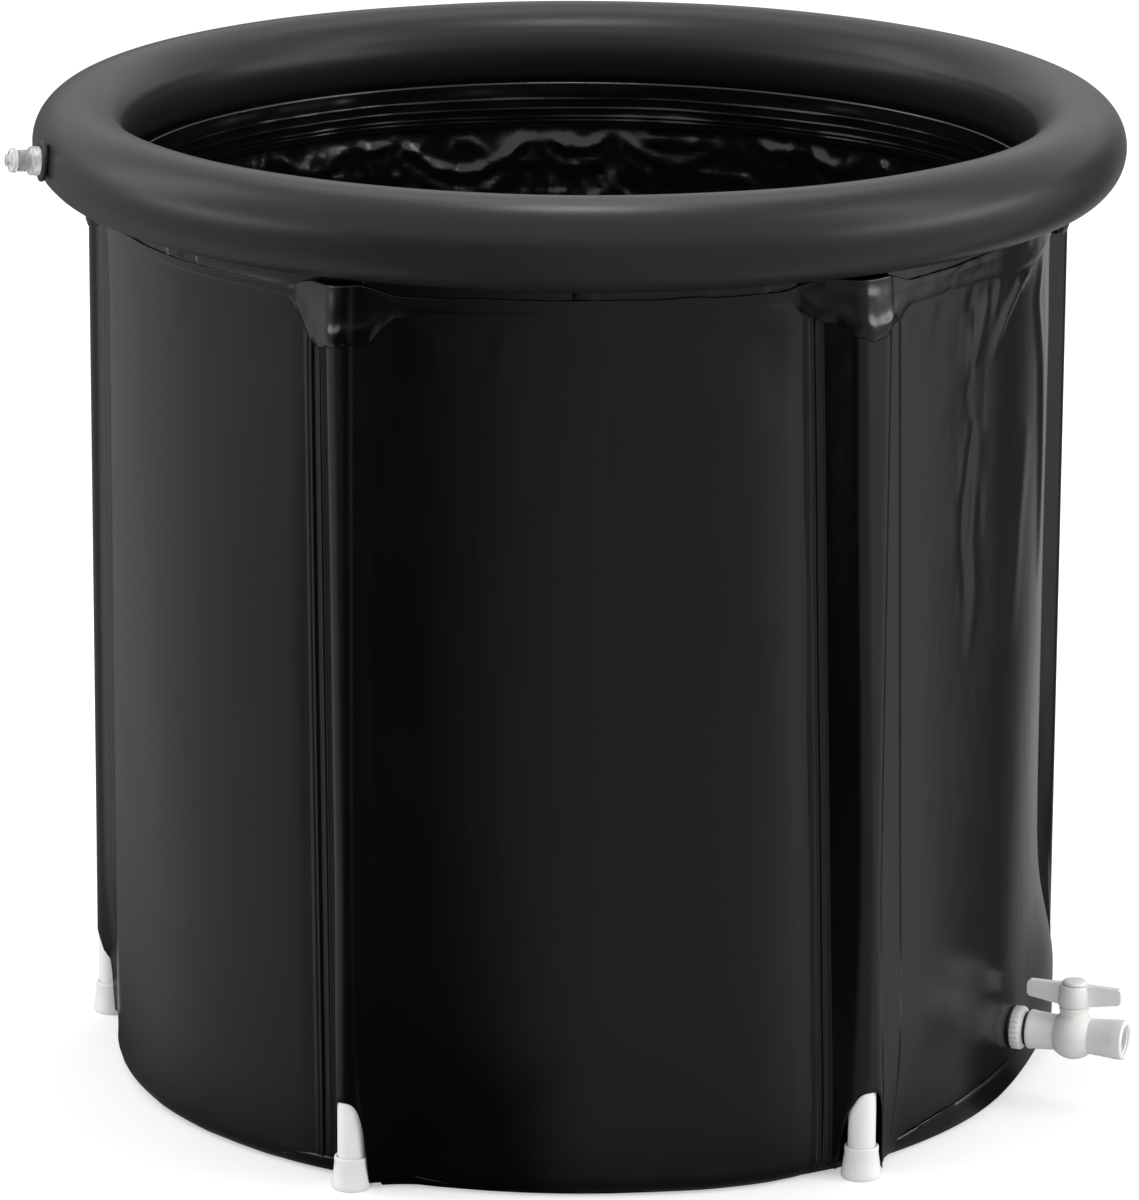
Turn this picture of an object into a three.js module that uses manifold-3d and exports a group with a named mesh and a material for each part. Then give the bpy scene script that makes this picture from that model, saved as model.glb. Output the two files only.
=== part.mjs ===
import * as THREE from 'three';
import { mergeVertices } from 'three/addons/utils/BufferGeometryUtils.js';
import Module from 'manifold-3d';

// Inflatable bathtub: a round soft tub with an inflated ring, held up by five rods in welded
// pockets, with an air valve on the ring and a ball valve as a drain.
// Millimetres, +Z up. The origin is the centre of the underside and the front faces -Y.
// An angle round the tub is measured from the front, positive towards +X.

const radians = THREE.MathUtils.degToRad;
const quarterTurn = Math.PI / 2;
const fullTurn = 2 * Math.PI;

// Overall sizes
const ringOuterDiameter = 800;
const overallHeight = 732;
const ringTubeDiameter = 68;

// Sheets and foam
const coverThickness = 0.8;
const linerThickness = 0.8;
const baseThickness = 0.8;
const pocketThickness = 0.8;
const hemThickness = 0.8;
const skirtThickness = 0.8;
const ringSkinThickness = 1;
const foamThickness = 6;
const sheetGap = 0.4;
const fitGap = 0.3;

// Base and liner corners
const baseCornerRadius = 12;
const baseLapHeight = 12;
const linerCornerRadius = 24;

// Inner weld band and the liner's gathers below it
const weldBandWidth = 31.4;
const weldBandThickness = 1.2;
const weldRibHeight = 0.8;
const weldRibPitch = 12;
const weldRibCount = 2;
const linerFoldDepth = 9;
const linerFoldCount = 12;
const linerSecondFoldCount = 7;
const linerWanderCount = 3;
const linerFoldDrop = 4;
const linerFoldFoot = 120;

// Hem band over the pocket tops, and the skirt between it and the ring
const hemWidth = 16;
const hemTopDrop = 16.4;
const hemDip = 24;
const hemBumpHalfWidth = 42;
const hemRecess = 2;
const skirtEdgeAngle = radians(-100);

// Rods and their pockets
const rodAngles = [-101, -26, 35, 102, 181.5].map(radians);
const pipeDiameter = 20;
const pipeWall = 2;
const rodStandOff = 4.8;
const pocketSpan = 47;
const pocketFlange = 12;
const pocketArch = 22;
const pocketTuck = 15;
const pocketRise = 20;
const rodTopDrop = 4;
const footHeight = 24;
const footBottomRadius = 14;
const footTopRadius = 12.2;
const footFloor = 3;
const footEdge = 1.5;
const rodCapThickness = 2;
const rodCapPlugLength = 10;
const panelFoldGap = 24;

// Air valve, sizes measured out from the ring's skin
const airValveAngle = radians(-74);
const airValveElevation = radians(4);
const airGasketRadius = 14.5;
const airGasketThickness = 2;
const airBaseTubeRadius = 8;
const airBaseBoreRadius = 6;
const airBaseFlangeRadius = 13;
const airBaseFlangeThickness = 2;
const airCollarRadius = 10.5;
const airCollarLength = 7.5;
const airNeckRadius = 8;
const airNeckLength = 9;
const airNeckBoreRadius = 4.5;
const airCollarEdge = 0.9;
const airFlapThickness = 1;
const airCapRadius = 8.8;
const airCapLength = 5;
const airCapPlugLength = 6;
const airCapNubRadius = 4.5;
const airCapNubLength = 2.7;

// Drain, a ball valve on a bulkhead fitting, its axis level and square to the wall
const drainAngle = radians(69.5);
const drainHeight = 55;
const tailRadius = 10.8;
const tailWall = 3.3;
const tailReach = 14.5;
const bulkheadFlangeRadius = 20;
const bulkheadFlangeThickness = 4;
const innerGasketRadius = 19;
const outerGasketRadius = 16.5;
const gasketThickness = 2;
const nutRadius = 15;
const nutLength = 8.5;
const nutGripCount = 12;
const nutGripRadius = 1.8;
const socketRingRadius = 13;
const socketRingThickness = 2;

// Valve housing
const socketMouthRadius = 14.6;
const socketWaistRadius = 13.2;
const inletSocketLength = 21;
const outletSocketLength = 27;
const outletThreadRadius = 10.6;
const outletThreadDepth = 16;
const housingRadius = 18.5;
const edgeRound = 1;
const neckRadius = 10.5;
const neckTop = 22.5;
const stopHeight = 2;
const stopInnerRadius = 7.4;
const stopAngle = radians(-105);
const stopWidth = radians(22);
const stopClearance = radians(2);
const handleTravel = radians(90);

// Ball, seats and stem
const ballRadius = 10.4;
const ballBoreRadius = 6;
const ballSlotFloor = 8;
const ballSlotWidth = 4.2;
const portRadius = 6.5;
const seatLipRadius = 9.2;
const seatReach = 12;
const retainerLength = 6;
const retainerSlotWidth = 3;
const retainerSlotDepth = 2;
const stemRadius = 4;
const stemFlangeRadius = 6.2;
const stemFlangeThickness = 2.3;
const stemBladeLength = 7;
const stemGrooveHeight = 17;
const stemGrooveWidth = 2.2;
const stemGrooveRadius = 2.9;
const stemRingSection = 0.5;
const stemSquare = 5.6;
const stemSquareLength = 9;

// Handle
const handleHubRadius = 10.5;
const handleHubHeight = 13.7;
const handleHubTaper = 0.7;
const handleHalfLength = 36;
const handleWingThickness = 6;
const handleWingDrop = 2;
const handleWingRise = 1.5;
const handleWingRound = 3.5;
const handleCapRadius = 9;
const handleCapThickness = 3;
const handleCapRound = 1.2;
const handleCapPlugRadius = 4;
const handleCapPlugLength = 3;

// Facets
const shellSegments = 48;
const ringSides = 12;
const linerColumns = 60;
const pipeSegments = 16;
const valveSegments = 20;
const notchSegments = 6;
const smallRingSegments = 16;

// Shares of the sizes that they follow
const wallInsetShare = 0.603;
const hemColumnShares = [-1, -0.72, -0.45, -0.2, 0, 0.2, 0.45, 0.72, 1];
const hemMiddleShare = 0.5;
const linerRowShares = [0, 0.45, 0.86, 0.97];
const linerDepthShares = [0, 0.25, 0.7, 1];
const foldWanderShare = 0.35;
const foldSecondShare = 0.4;

// Sizes worked out from those above
const ringTubeRadius = ringTubeDiameter / 2;
const ringCentreRadius = ringOuterDiameter / 2 - ringTubeRadius;
const ringCentreHeight = overallHeight - ringTubeRadius;
const coverRadius = ringCentreRadius - ringTubeRadius * wallInsetShare;
const coverInnerRadius = coverRadius - coverThickness;
const foamOuterRadius = insideOf(coverInnerRadius, shellSegments);
const foamInnerRadius = foamOuterRadius - foamThickness;
const linerRadius = insideOf(foamInnerRadius, shellSegments);
const linerInnerRadius = linerRadius - linerThickness;
const weldBandRadius = insideOf(linerInnerRadius, linerColumns);
const wrapRadius = coverRadius + sheetGap;
const lapRadius = wrapRadius + baseThickness;
const baseFlatRadius = lapRadius - baseCornerRadius;
const lapTop = baseCornerRadius + baseLapHeight;
const wallFoot = baseCornerRadius + sheetGap;
const coverTop = ringUnderside(coverRadius);
const weldBandFoot = coverTop - weldBandWidth;
const linerFoldTop = weldBandFoot - linerFoldDrop;
const hemTop = coverTop - hemTopDrop;
const hemFoot = hemTop - hemWidth;
const foamFloorFoot = baseThickness + sheetGap;
const linerFoot = foamFloorFoot + foamThickness + sheetGap;
const pipeRadius = pipeDiameter / 2;
const rodCentreRadius = coverRadius + rodStandOff + pipeRadius;
const pocketBoreRadius = pipeRadius + sheetGap;
const pocketCrownRadius = pocketBoreRadius + pocketThickness;
const pocketFoot = lapTop + pocketRise;
const pocketTop = hemFoot - hemDip + pocketTuck;
const rodTop = pocketTop - rodTopDrop;

const wasm = await Module();
wasm.setup();

// Finishes
const ringVinyl = { color: 0x2b2c2e, roughness: 0.55, metalness: 0 };
const wallVinyl = { color: 0x0c0c0d, roughness: 0.38, metalness: 0 };
const linerVinyl = { color: 0x050505, roughness: 0.18, metalness: 0 };
const foam = { color: 0xd9dadb, roughness: 0.95, metalness: 0 };
const whitePlastic = { color: 0xe6e4e0, roughness: 0.4, metalness: 0 };
const clearPlastic = { color: 0xdfe3e4, roughness: 0.15, metalness: 0 };
const blackRubber = { color: 0x0a0a0a, roughness: 0.7, metalness: 0 };
const seatPlastic = { color: 0xf4f3ef, roughness: 0.5, metalness: 0 };

// Radius of what fits inside a round shell of flat facets, clear of the facets' middles
function insideOf(radius, segments) {
  return radius * Math.cos(Math.PI / segments) - sheetGap;
}

// Height of the ring's underside above a circle round the tub, less the sheet clearance
function ringUnderside(radius) {
  const reach = ringTubeRadius + sheetGap;
  const side = ringCentreRadius - radius;
  return ringCentreHeight - Math.sqrt(reach * reach - side * side);
}

function signedVolume(positions, corners) {
  const [a, b, c] = [new THREE.Vector3(), new THREE.Vector3(), new THREE.Vector3()];
  let total = 0;
  for (let i = 0; i < corners.length; i += 3) {
    a.fromBufferAttribute(positions, corners[i]);
    b.fromBufferAttribute(positions, corners[i + 1]);
    c.fromBufferAttribute(positions, corners[i + 2]);
    total += a.dot(b.cross(c)) / 6;
  }
  return total;
}

// Merge the corners, drop collapsed faces and turn the faces outwards
function closed(geometry) {
  geometry.deleteAttribute('normal');
  geometry.deleteAttribute('uv');
  const merged = mergeVertices(geometry);
  const corners = merged.index.array;
  const kept = [];
  for (let i = 0; i < corners.length; i += 3) {
    const [a, b, c] = [corners[i], corners[i + 1], corners[i + 2]];
    if (a !== b && b !== c && c !== a) {
      kept.push(a, b, c);
    }
  }
  if (signedVolume(merged.attributes.position, kept) < 0) {
    kept.reverse();
  }
  merged.setIndex(kept);
  return merged;
}

function asSolid(geometry) {
  const merged = closed(geometry.clone());
  const vertProperties = new Float32Array(merged.attributes.position.array);
  const triVerts = new Uint32Array(merged.index.array);
  return new wasm.Manifold(new wasm.Mesh({ numProp: 3, vertProperties, triVerts }));
}

function asGeometry(solid) {
  const mesh = solid.getMesh();
  const geometry = new THREE.BufferGeometry();
  geometry.setAttribute('position', new THREE.BufferAttribute(mesh.vertProperties, 3));
  geometry.setIndex(new THREE.BufferAttribute(mesh.triVerts, 1));
  return geometry;
}

// Join the added shapes to the first one, then cut the removed ones
function shaped(first, added, removed) {
  let solid = asSolid(first);
  for (const shape of added) {
    solid = solid.add(asSolid(shape));
  }
  for (const shape of removed) {
    solid = solid.subtract(asSolid(shape));
  }
  return asGeometry(solid);
}

function arc(centreX, centreY, radius, from, to, steps) {
  return Array.from({ length: steps + 1 }, (_, step) => {
    const angle = from + ((to - from) * step) / steps;
    return [centreX + radius * Math.cos(angle), centreY + radius * Math.sin(angle)];
  });
}

// Revolve an outline of [radius, height] about Z; it starts and ends on the axis or closes on itself
function turned(outline, segments) {
  const points = outline.map(([radius, height]) => new THREE.Vector2(radius, height));
  if (points[0].x > 0) {
    points.push(points[0].clone());
  }
  return closed(new THREE.LatheGeometry(points, segments).rotateX(quarterTurn));
}

// Revolve an outline of [distance, radius] about X
function turnedAlong(outline, segments) {
  return turned(outline.map(([distance, radius]) => [radius, distance]), segments).rotateY(quarterTurn);
}

// Extrude an outline of [x, y] from one height to another
function prism(outline, foot, top) {
  const shape = new THREE.Shape(outline.map(([x, y]) => new THREE.Vector2(x, y)));
  const geometry = new THREE.ExtrudeGeometry(shape, { depth: top - foot, bevelEnabled: false });
  return closed(geometry.translate(0, 0, foot));
}

// Extrude an upright outline of [x, z] to both sides of the XZ plane
function plate(outline, thickness) {
  return prism(outline, -thickness / 2, thickness / 2).rotateX(quarterTurn);
}

function rod(radius, from, to, segments) {
  return turned([[0, from], [radius, from], [radius, to], [0, to]], segments);
}

function rodAlong(radius, from, to, segments) {
  return rod(radius, from, to, segments).rotateY(quarterTurn);
}

// A band of [inner, outer] radius between two angles round Z
function sector(inner, outer, from, to, steps) {
  return [...arc(0, 0, outer, from, to, steps), ...arc(0, 0, inner, to, from, steps)];
}

// A round shell whose outline of [radius, height] changes with the angle. The outline runs along one
// face of a sheet and back along the other, and both faces are split along the same diagonals.
function wrapped(angles, outlineAt) {
  const positions = [];
  for (const angle of angles) {
    for (const [radius, height] of outlineAt(angle)) {
      positions.push(radius * Math.sin(angle), -radius * Math.cos(angle), height);
    }
  }
  const rows = positions.length / 3 / angles.length;
  const corners = [];
  angles.forEach((_, column) => {
    const here = column * rows;
    const there = ((column + 1) % angles.length) * rows;
    for (let row = 0; row < rows; row += 1) {
      const next = (row + 1) % rows;
      if (row < rows / 2) {
        corners.push(here + row, there + row, there + next);
        corners.push(here + row, there + next, here + next);
      } else {
        corners.push(here + row, there + row, here + next);
        corners.push(there + row, there + next, here + next);
      }
    }
  });
  const geometry = new THREE.BufferGeometry();
  geometry.setAttribute('position', new THREE.Float32BufferAttribute(positions, 3));
  geometry.setIndex(corners);
  return closed(geometry);
}

// A frame on a circle round the tub, its X axis pointing out and raised by the elevation
function radialFrame(angle, radius, height, elevation = 0) {
  const frame = new THREE.Group();
  frame.position.set(radius * Math.sin(angle), -radius * Math.cos(angle), height);
  frame.rotation.set(0, -elevation, angle - quarterTurn, 'ZYX');
  frame.updateMatrix();
  return frame;
}

function addPiece(group, name, geometry, finish) {
  geometry.computeVertexNormals();
  const mesh = new THREE.Mesh(geometry, new THREE.MeshStandardMaterial(finish));
  mesh.name = name;
  group.add(mesh);
}

const airFrame = radialFrame(airValveAngle, ringCentreRadius, ringCentreHeight, airValveElevation);
const drainFrame = radialFrame(drainAngle, coverRadius, drainHeight);

// The hole that the drain's tail needs in every layer of the wall
function drainHole() {
  const reach = bulkheadFlangeRadius + foamThickness;
  const hole = rodAlong(tailRadius + sheetGap, -reach, reach, valveSegments);
  return hole.applyMatrix4(drainFrame.matrix);
}

function ringTorus(tubeRadius) {
  const torus = new THREE.TorusGeometry(ringCentreRadius, tubeRadius, ringSides, shellSegments);
  return torus.translate(0, 0, ringCentreHeight);
}

function ringBladder() {
  const hole = rodAlong(airBaseTubeRadius + sheetGap, 0, ringTubeDiameter, valveSegments);
  const hollow = ringTorus(ringTubeRadius - ringSkinThickness);
  return shaped(ringTorus(ringTubeRadius), [], [hollow, hole.applyMatrix4(airFrame.matrix)]);
}

function outerCover() {
  const outline = [
    [coverInnerRadius, wallFoot],
    [coverRadius, wallFoot],
    [coverRadius, coverTop],
    [coverInnerRadius, coverTop],
  ];
  return shaped(turned(outline, shellSegments), [], [drainHole()]);
}

function basePanel() {
  const innerRadius = baseCornerRadius - baseThickness;
  const steps = 4;
  const outline = [
    [0, 0],
    ...arc(baseFlatRadius, baseCornerRadius, baseCornerRadius, -quarterTurn, 0, steps),
    [lapRadius, lapTop],
    [wrapRadius, lapTop],
    ...arc(baseFlatRadius, baseCornerRadius, innerRadius, 0, -quarterTurn, steps),
    [0, baseThickness],
  ];
  return turned(outline, shellSegments);
}

function insulationFloor() {
  const radius = baseFlatRadius - foamThickness;
  return rod(radius, foamFloorFoot, foamFloorFoot + foamThickness, shellSegments);
}

// Foam between the fold lines of two neighbouring rods
function insulationPanel(from, to) {
  const margin = panelFoldGap / 2 / foamInnerRadius;
  const start = from + margin - quarterTurn;
  const end = to - margin - quarterTurn;
  const steps = Math.ceil((end - start) / (fullTurn / shellSegments));
  const outline = sector(foamInnerRadius, foamOuterRadius, start, end, steps);
  const top = ringUnderside(foamOuterRadius);
  return shaped(prism(outline, wallFoot, top), [], [drainHole()]);
}

// How far the liner's gathers stand in from its round form, as a share of their full depth
function foldShare(angle) {
  const wander = foldWanderShare * Math.sin(linerWanderCount * angle) * fullTurn;
  const first = Math.cos(linerFoldCount * angle + wander);
  const second = Math.cos(linerSecondFoldCount * angle);
  const mixed = (first + foldSecondShare * second) / (1 + foldSecondShare);
  return Math.max(0, mixed);
}

function innerLiner() {
  const flatRadius = linerRadius - linerCornerRadius;
  const cornerHeight = linerFoot + linerCornerRadius;
  const innerCorner = linerCornerRadius - linerThickness;
  const steps = 3;
  const top = ringUnderside(linerRadius);
  const foldHeight = linerFoldTop - linerFoldFoot;
  const outlineAt = (angle) => {
    const rows = linerRowShares.map((share, row) => {
      const depth = linerFoldDepth * linerDepthShares[row] * foldShare(angle);
      return [linerRadius - depth, linerFoldFoot + foldHeight * share];
    });
    const innerRows = rows.map(([radius, height]) => [radius - linerThickness, height]).reverse();
    return [
      [0, linerFoot],
      ...arc(flatRadius, cornerHeight, linerCornerRadius, -quarterTurn, 0, steps),
      ...rows,
      [linerRadius, linerFoldTop],
      [linerRadius, top],
      [linerInnerRadius, top],
      [linerInnerRadius, linerFoldTop],
      ...innerRows,
      ...arc(flatRadius, cornerHeight, innerCorner, 0, -quarterTurn, steps),
      [0, linerFoot + linerThickness],
    ];
  };
  const angles = Array.from({ length: linerColumns }, (_, column) => (column * fullTurn) / linerColumns);
  return shaped(wrapped(angles, outlineAt), [], [drainHole()]);
}

function innerWeldBand() {
  const innerRadius = weldBandRadius - weldBandThickness;
  const ribRadius = innerRadius - weldRibHeight;
  const ribs = Array.from({ length: weldRibCount }).flatMap((_, rib) => {
    const height = weldBandFoot + (rib + 1) * weldRibPitch;
    const half = weldRibHeight;
    return [[innerRadius, height - half], [ribRadius, height], [innerRadius, height + half]];
  });
  const outline = [
    [weldBandRadius, weldBandFoot],
    [weldBandRadius, coverTop],
    [innerRadius, coverTop],
    ...ribs.reverse(),
    [innerRadius, weldBandFoot],
  ];
  return turned(outline, shellSegments);
}

// Distance along the wall from an angle to the nearest rod
function distanceToRod(angle) {
  return Math.min(...rodAngles.map((rodAngle) => {
    const turn = angle - rodAngle;
    return Math.abs(Math.atan2(Math.sin(turn), Math.cos(turn))) * coverRadius;
  }));
}

// Facet angles of the wall, with closer ones where the hem passes over a pocket
function hemAngles() {
  const even = Array.from({ length: shellSegments }, (_, step) => (step * fullTurn) / shellSegments);
  const between = even.filter((angle) => distanceToRod(angle) > hemBumpHalfWidth);
  const over = rodAngles.flatMap((rodAngle) => hemColumnShares.map((share) => {
    const angle = rodAngle + (share * hemBumpHalfWidth) / coverRadius;
    return (angle + fullTurn) % fullTurn;
  }));
  return [...between, ...over].sort((a, b) => a - b);
}

function hemBand() {
  const crown = rodCentreRadius + pocketCrownRadius + 2 * sheetGap - wrapRadius;
  const clearTop = pocketTop + sheetGap;
  const middle = clearTop + (hemTop - clearTop) * hemMiddleShare;
  const outlineAt = (angle) => {
    const nearness = Math.max(0, 1 - distanceToRod(angle) / hemBumpHalfWidth);
    const bump = crown * Math.sin(nearness * quarterTurn) ** 2;
    const foot = hemFoot - hemDip * nearness;
    const inner = [
      [wrapRadius + bump, foot],
      [wrapRadius + bump, Math.max(clearTop, foot + hemThickness)],
      [wrapRadius + bump * hemMiddleShare, middle + hemThickness],
      [wrapRadius, hemTop],
    ];
    const outer = inner.map(([radius, height]) => [radius + hemThickness, height]).reverse();
    return [...inner, ...outer];
  };
  return wrapped(hemAngles(), outlineAt);
}

// Strip that follows the ring's underside and turns down against the wall
function ringSkirt() {
  const near = ringTubeRadius + sheetGap;
  const far = near + skirtThickness;
  const outerRadius = wrapRadius + skirtThickness;
  const foot = hemTop + hemRecess;
  const steps = 2;
  const nearStart = -Math.acos((wrapRadius - ringCentreRadius) / near);
  const farStart = -Math.acos((outerRadius - ringCentreRadius) / far);
  const outline = [
    [wrapRadius, foot],
    ...arc(ringCentreRadius, ringCentreHeight, near, nearStart, skirtEdgeAngle, steps),
    ...arc(ringCentreRadius, ringCentreHeight, far, skirtEdgeAngle, farStart, steps),
    [outerRadius, foot],
  ];
  return turned(outline, shellSegments);
}

// Half of the pocket's section at one sheet face, from the flange edge to the top of the tent
function pocketHalf(wallRadius, boreRadius) {
  const seamAngle = pocketSpan / 2 / wrapRadius;
  const edgeAngle = (pocketSpan / 2 + pocketFlange) / wrapRadius;
  const flange = arc(0, 0, wallRadius, quarterTurn - edgeAngle, quarterTurn - seamAngle, 2);
  const [seamX, seamY] = flange[flange.length - 1];
  const dx = seamX;
  const dy = seamY - rodCentreRadius;
  const contact = Math.atan2(dy, dx) + Math.acos(boreRadius / Math.hypot(dx, dy));
  return [...flange, ...arc(0, rodCentreRadius, boreRadius, contact, quarterTurn, 3)];
}

// Strip welded to the wall on both sides of the rod, its foot cut to an arch
function rodPocket() {
  const mirrored = (half) => half.slice(0, -1).map(([x, y]) => [-x, y]).reverse();
  const inner = pocketHalf(wrapRadius, pocketBoreRadius);
  const outer = pocketHalf(wrapRadius + pocketThickness, pocketCrownRadius);
  const outline = [...outer, ...mirrored(outer), ...mirrored(inner).reverse(), ...[...inner].reverse()];
  const reach = rodCentreRadius + pocketSpan;
  const steps = 10;
  const arch = arc(0, pocketFoot, pocketArch, 0, Math.PI, steps);
  const below = [[-pocketArch, pocketFoot - pocketArch], [pocketArch, pocketFoot - pocketArch]];
  const cut = prism([...arch, ...below], -reach, 0).rotateX(quarterTurn);
  return shaped(prism(outline, pocketFoot, pocketTop), [], [cut]);
}

function rodPipe() {
  const inner = pipeRadius - pipeWall;
  const foot = footFloor + fitGap;
  return turned([[inner, foot], [pipeRadius, foot], [pipeRadius, rodTop], [inner, rodTop]], pipeSegments);
}

function rodFoot() {
  const socket = pipeRadius + sheetGap;
  const outline = [
    [0, 0],
    [footBottomRadius - footEdge, 0],
    [footBottomRadius, footEdge],
    [footTopRadius, footHeight],
    [socket + sheetGap, footHeight],
    [socket, footHeight - footEdge],
    [socket, footFloor],
    [0, footFloor],
  ];
  return turned(outline, pipeSegments);
}

function rodCap() {
  const plug = pipeRadius - pipeWall - sheetGap;
  const seat = rodTop + fitGap;
  const top = seat + rodCapThickness;
  const outline = [
    [0, seat - rodCapPlugLength],
    [plug, seat - rodCapPlugLength],
    [plug, seat],
    [pipeRadius, seat],
    [pipeRadius, seat + rodCapThickness / 2],
    [pipeRadius - rodCapThickness / 2, top],
    [0, top],
  ];
  return turned(outline, pipeSegments);
}

const airGasketTop = ringTubeRadius + sheetGap + airGasketThickness;
const airCollarFoot = airGasketTop + fitGap;
const airCollarTop = airCollarFoot + airCollarLength;
const airNeckTop = airCollarTop + airNeckLength;
const airCapFoot = airNeckTop + fitGap;
const airCapTop = airCapFoot + airCapLength;
const ringHollowFlat = (ringTubeRadius - ringSkinThickness) * Math.cos(Math.PI / ringSides);
const ringFacetSag = (ringOuterDiameter / 2) * (1 - Math.cos(Math.PI / shellSegments));
const airFlangeDepth = Math.sqrt(ringHollowFlat ** 2 - airBaseFlangeRadius ** 2);
const airFlangeTop = airFlangeDepth - ringFacetSag - sheetGap;
const airFlangeFoot = airFlangeTop - airBaseFlangeThickness;
const airBodyFoot = airFlangeFoot + airFlapThickness + fitGap;

// Washer whose underside follows the ring's skin
function airGasket() {
  const blank = rodAlong(airGasketRadius, 0, airGasketTop, valveSegments);
  const hole = rodAlong(airBaseTubeRadius + sheetGap, -ringTubeRadius, ringTubeDiameter, valveSegments);
  const toFrame = airFrame.matrix.clone().invert();
  const skin = ringTorus(ringTubeRadius + sheetGap).applyMatrix4(toFrame);
  return shaped(blank, [], [skin, hole]);
}

function airBase() {
  const outline = [
    [airFlangeFoot, airBaseBoreRadius],
    [airFlangeFoot, airBaseFlangeRadius],
    [airFlangeTop, airBaseFlangeRadius],
    [airFlangeTop, airBaseTubeRadius],
    [airGasketTop, airBaseTubeRadius],
    [airGasketTop, airBaseBoreRadius],
  ];
  return turnedAlong(outline, valveSegments);
}

function airBody() {
  const outline = [
    [airBodyFoot, airNeckBoreRadius],
    [airBodyFoot, airBaseBoreRadius - fitGap],
    [airCollarFoot, airBaseBoreRadius - fitGap],
    [airCollarFoot, airCollarRadius],
    [airCollarTop - airCollarEdge, airCollarRadius],
    [airCollarTop, airCollarRadius - airCollarEdge],
    [airCollarTop, airNeckRadius],
    [airNeckTop, airNeckRadius],
    [airNeckTop, airNeckBoreRadius],
  ];
  return turnedAlong(outline, valveSegments);
}

function airFlap() {
  const top = airFlangeFoot + airFlapThickness;
  return rodAlong(airBaseBoreRadius - fitGap, airFlangeFoot, top, valveSegments);
}

function airCap() {
  const plug = airNeckBoreRadius - fitGap;
  const outline = [
    [airCapFoot - airCapPlugLength, 0],
    [airCapFoot - airCapPlugLength, plug],
    [airCapFoot, plug],
    [airCapFoot, airCapRadius],
    [airCapTop - airCollarEdge, airCapRadius],
    [airCapTop, airCapRadius - airCollarEdge],
    [airCapTop, airCapNubRadius],
    [airCapTop + airCapNubLength, airCapNubRadius],
    [airCapTop + airCapNubLength, 0],
  ];
  return turnedAlong(outline, valveSegments);
}

// Stations along the drain's axis, from the wall's outer face
const outerGasketEnd = fitGap + gasketThickness;
const nutFoot = outerGasketEnd + fitGap;
const nutEnd = nutFoot + nutLength;
const socketRingFoot = nutEnd + fitGap;
const socketRingEnd = socketRingFoot + socketRingThickness;
const inletMouth = socketRingEnd + fitGap;
const inletWaist = inletMouth + inletSocketLength;
const housingHalf = Math.sqrt(housingRadius ** 2 - socketWaistRadius ** 2);
const ballCentre = inletWaist + housingHalf;
const outletWaist = ballCentre + housingHalf;
const outletMouth = outletWaist + outletSocketLength;
const chamberRadius = ballRadius + sheetGap;
const chamberEnd = seatReach + fitGap;
const seatRadius = chamberRadius - fitGap;
const tailEnd = inletMouth + tailReach;
const tailBoreRadius = tailRadius - tailWall;
const tailHoleRadius = tailRadius + sheetGap;
const wallSag = (radius) => linerInnerRadius - Math.sqrt(linerInnerRadius ** 2 - radius ** 2);
const linerFace = linerInnerRadius - coverRadius;
const innerGasketFace = linerFace - wallSag(innerGasketRadius) - sheetGap;
const bulkheadFace = innerGasketFace - gasketThickness - fitGap;

function washer(from, to, inner, outer) {
  return turnedAlong([[from, inner], [from, outer], [to, outer], [to, inner]], valveSegments);
}

function drainBulkhead() {
  const back = bulkheadFace - bulkheadFlangeThickness;
  const outline = [
    [back, tailBoreRadius],
    [back, bulkheadFlangeRadius - edgeRound],
    [back + edgeRound, bulkheadFlangeRadius],
    [bulkheadFace, bulkheadFlangeRadius],
    [bulkheadFace, tailRadius],
    [tailEnd, tailRadius],
    [tailEnd, tailBoreRadius],
  ];
  return turnedAlong(outline, valveSegments);
}

function lockNut() {
  const blank = washer(nutFoot, nutEnd, tailHoleRadius, nutRadius);
  const grips = Array.from({ length: nutGripCount }, (_, grip) => {
    const notch = rodAlong(nutGripRadius, nutFoot - fitGap, nutEnd + fitGap, notchSegments);
    return notch.translate(0, 0, nutRadius + nutGripRadius / 2).rotateX((grip * fullTurn) / nutGripCount);
  });
  return shaped(blank, [], grips);
}

// Two stops on the neck and one lug on the handle leave it a quarter turn
function stopBlock(angle, foot, top) {
  const outer = neckRadius - fitGap;
  const block = sector(stopInnerRadius, outer, angle - stopWidth / 2, angle + stopWidth / 2, 3);
  return prism(block, foot, top);
}

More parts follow.
